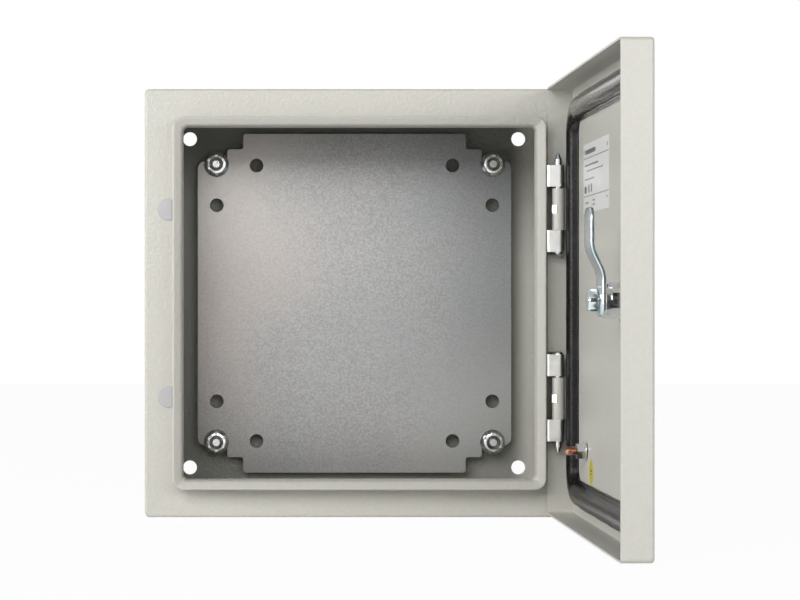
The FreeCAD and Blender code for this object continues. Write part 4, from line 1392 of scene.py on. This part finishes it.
@dataclass
class DoorSeal:
    """Foamed gasket ring on the inside of the door."""

    place: DoorPlace
    half: float = 0.1325
    width: float = 0.0190
    height: float = 0.0074
    outer_radius: float = 0.028
    foot: float = 0.0012
    foot_height: float = 0.0011
    foot_edge: float = 0.0003
    arch_power: float = 2.1
    arch_root: float = 1.9
    arch_points: int = 19
    corner_points: int = 16
    step: float = 0.003
    lean: float = 0.0001
    lean_rate: float = 120.0

    def profile(self) -> np.ndarray:
        """Draws the cross-section: a low arch between two thin feet.

        With s running from -1 to 1 across the arch, its height is the full height times
        (1 - |s|^power)^(1/root), and never under that of the feet.

        Returns:
            Offset across the ring and height above the panel, from one foot to the other.
        """
        side = np.sin(np.linspace(-QUARTER, QUARTER, self.arch_points))
        rise = np.clip(1.0 - np.abs(side) ** self.arch_power, 0.0, 1.0) ** (1 / self.arch_root)
        half = self.width / 2
        arch = np.stack([side * (half - self.foot), np.maximum(rise * self.height, self.foot_height)], axis=1)
        before = np.array([(-half, 0.0), (-half, self.foot_height - self.foot_edge),
                           (-half + self.foot_edge, self.foot_height)])
        return np.concatenate([before, arch, before[::-1] * np.array([-1.0, 1.0])])

    def refine(self, loop: np.ndarray, outward: np.ndarray) -> tuple[np.ndarray, np.ndarray]:
        """Adds points on the straight runs, so that the skin can wave a little there.

        A point between two given ones is first + (second - first) * t; the foamed bead leans across
        its run by a tenth of a millimetre in slow sine waves.

        Args:
            loop: points of the loop.
            outward: unit directions at these points.

        Returns:
            More points and the unit directions there.
        """
        along = np.roll(loop, -1, axis=0) - loop
        swing = np.roll(outward, -1, axis=0) - outward
        steps = np.maximum(1, (np.linalg.norm(along, axis=1) / self.step).astype(int))
        run = np.repeat(np.arange(len(loop)), steps)
        passed = np.repeat(np.cumsum(steps) - steps, steps)
        t = ((np.arange(len(run)) - passed) / steps[run])[:, None]
        line = loop[run] + along[run] * t
        normal = outward[run] + swing[run] * t
        normal /= np.linalg.norm(normal, axis=1, keepdims=True)
        phase = np.cumsum(np.linalg.norm(np.roll(line, -1, axis=0) - line, axis=1))
        wave = self.lean * np.sin(phase * self.lean_rate) - self.lean
        return line + normal * wave[:, None], normal

    def build(self, finishes: Finishes) -> None:
        """Carries the profile round the rounded loop and swings it open with the door.

        Args:
            finishes: the enclosure's materials.
        """
        low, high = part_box("door_gasket")
        middle_z = (low[2] + high[2]) / 2
        loop, outward = self.refine(*rounded_loop(self.half, self.half, self.outer_radius - self.width / 2,
                                                  self.corner_points))
        across, rise = self.profile().T[:, None, :]
        x = loop[:, None, 0] + outward[:, None, 0] * across
        z = middle_z + loop[:, None, 1] + outward[:, None, 1] * across
        closed = np.stack([x, PANEL_Y + np.broadcast_to(rise, x.shape), z], axis=-1)
        skin = SkinBuilder().add(self.place.opened(closed), joined=True)
        piece = skin.piece("foamed_door_seal", finishes.by_slot[Slot.RUBBER])
        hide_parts("door_gasket")
        seat(piece, Body.DOOR)


@dataclass
class DoorSticker:
    """Thin printed film on the inside of the door."""

    name: str
    place: DoorPlace
    middle: Pair
    size: Pair
    corner: float
    sheet: PrintedSheet
    corner_points: int = 12
    lift: float = 0.00002
    edge: float = 0.00003
    thickness: float = 0.00012

    def build(self) -> None:
        """Makes the film with its marks and lays it on the panel."""
        loop, outward = rounded_loop(self.size[0] / 2, self.size[1] / 2, self.corner, self.corner_points)
        inset = np.array([0.0, 0.0, self.edge])[:, None]
        rise = np.array([self.lift, self.thickness - self.edge, self.thickness])[:, None]
        across, up = ((loop[:, axis] - outward[:, axis] * inset) + self.middle[axis] for axis in (0, 1))
        closed = np.stack([across, np.broadcast_to(PANEL_Y + rise, across.shape), up], axis=-1)
        skin = SkinBuilder().add(self.place.opened(closed))
        piece = skin.piece(self.name, self.sheet.build(), False)
        self.unwrap(piece)
        seat(piece, Body.DOOR)

    def unwrap(self, piece: bpy.types.Object) -> None:
        """Writes a UV map in millimetres from the film's middle, read upright from inside the cabinet.

        Args:
            piece: the film.
        """
        mesh = piece.data
        places = np.empty(len(mesh.vertices) * 3)
        mesh.vertices.foreach_get("co", places)
        closed = self.place.closed(places.reshape(-1, 3))
        corner = np.empty(len(mesh.loops), dtype=np.int64)
        mesh.loops.foreach_get("vertex_index", corner)
        metres = np.stack([self.middle[0] - closed[:, 0], closed[:, 2] - self.middle[1]], axis=1)
        flat = metres * 1000.0
        mesh.uv_layers.new(name="millimetres").data.foreach_set("uv", flat[corner].ravel())


def door_stickers(place: DoorPlace) -> list[DoorSticker]:
    """Describes the rating label with empty ruled fields and the yellow earth mark.

    Args:
        place: where the door is at rest.

    Returns:
        The two films.
    """
    label = PrintedSheet("ruled_label_film", (0.79, 0.79, 0.79), (0.16, 0.16, 0.165), (
        (0.0, 13.4, 101.0, 0.55), (0.0, -12.0, 101.0, 0.55),
        (-22.0, 17.6, 42.0, 3.0), (-48.0, 18.4, 2.0, 3.4), (45.5, 17.8, 2.4, 2.4),
        (-18.0, 8.6, 56.0, 1.1), (-4.0, 4.8, 66.0, 0.8), (-26.0, -0.8, 40.0, 0.8),
        (-42.0, -7.6, 9.0, 4.6), (-28.0, -7.2, 5.0, 5.2), (-18.0, -7.0, 5.0, 5.4),
        (-36.0, -16.5, 12.0, 1.0), (-8.0, -15.6, 9.0, 1.0), (-8.0, -18.4, 9.0, 1.0),
        (44.0, -15.6, 3.0, 1.8),
    ))
    earth = PrintedSheet("earth_mark_film", (0.60, 0.55, 0.012), (0.03, 0.03, 0.02), (
        (0.0, 3.4, 0.8, 4.6), (0.0, 0.9, 8.4, 0.9), (0.0, -1.3, 5.4, 0.9), (0.0, -3.4, 2.6, 0.9),
    ))
    return [
        DoorSticker("door_rating_label", place, middle=(0.0508, 0.0836), size=(0.1022, 0.0466),
                    corner=0.0015, sheet=label),
        DoorSticker("door_earth_mark", place, middle=(0.0700, -0.1123), size=(0.0167, 0.0167),
                    corner=0.00834, sheet=earth),
    ]


def main() -> None:
    """Builds the classes in order and reports each piece."""
    logging.basicConfig(level=logging.INFO, format="%(name)s: %(message)s")
    Studio().build()
    finishes = Finishes()
    finishes.build()
    finishes.dress()
    place = DoorPlace.from_joint("door_swing")
    PlateStuds().build(finishes)
    PlateNuts().build(finishes)
    LatchCam(place).build(finishes)
    CamBolt(place).build(finishes)
    DoorSeal(place).build(finishes)
    DoorEarth(place).build(finishes)
    for sticker in door_stickers(place):
        sticker.build()


if __name__ == "__main__":
    main()
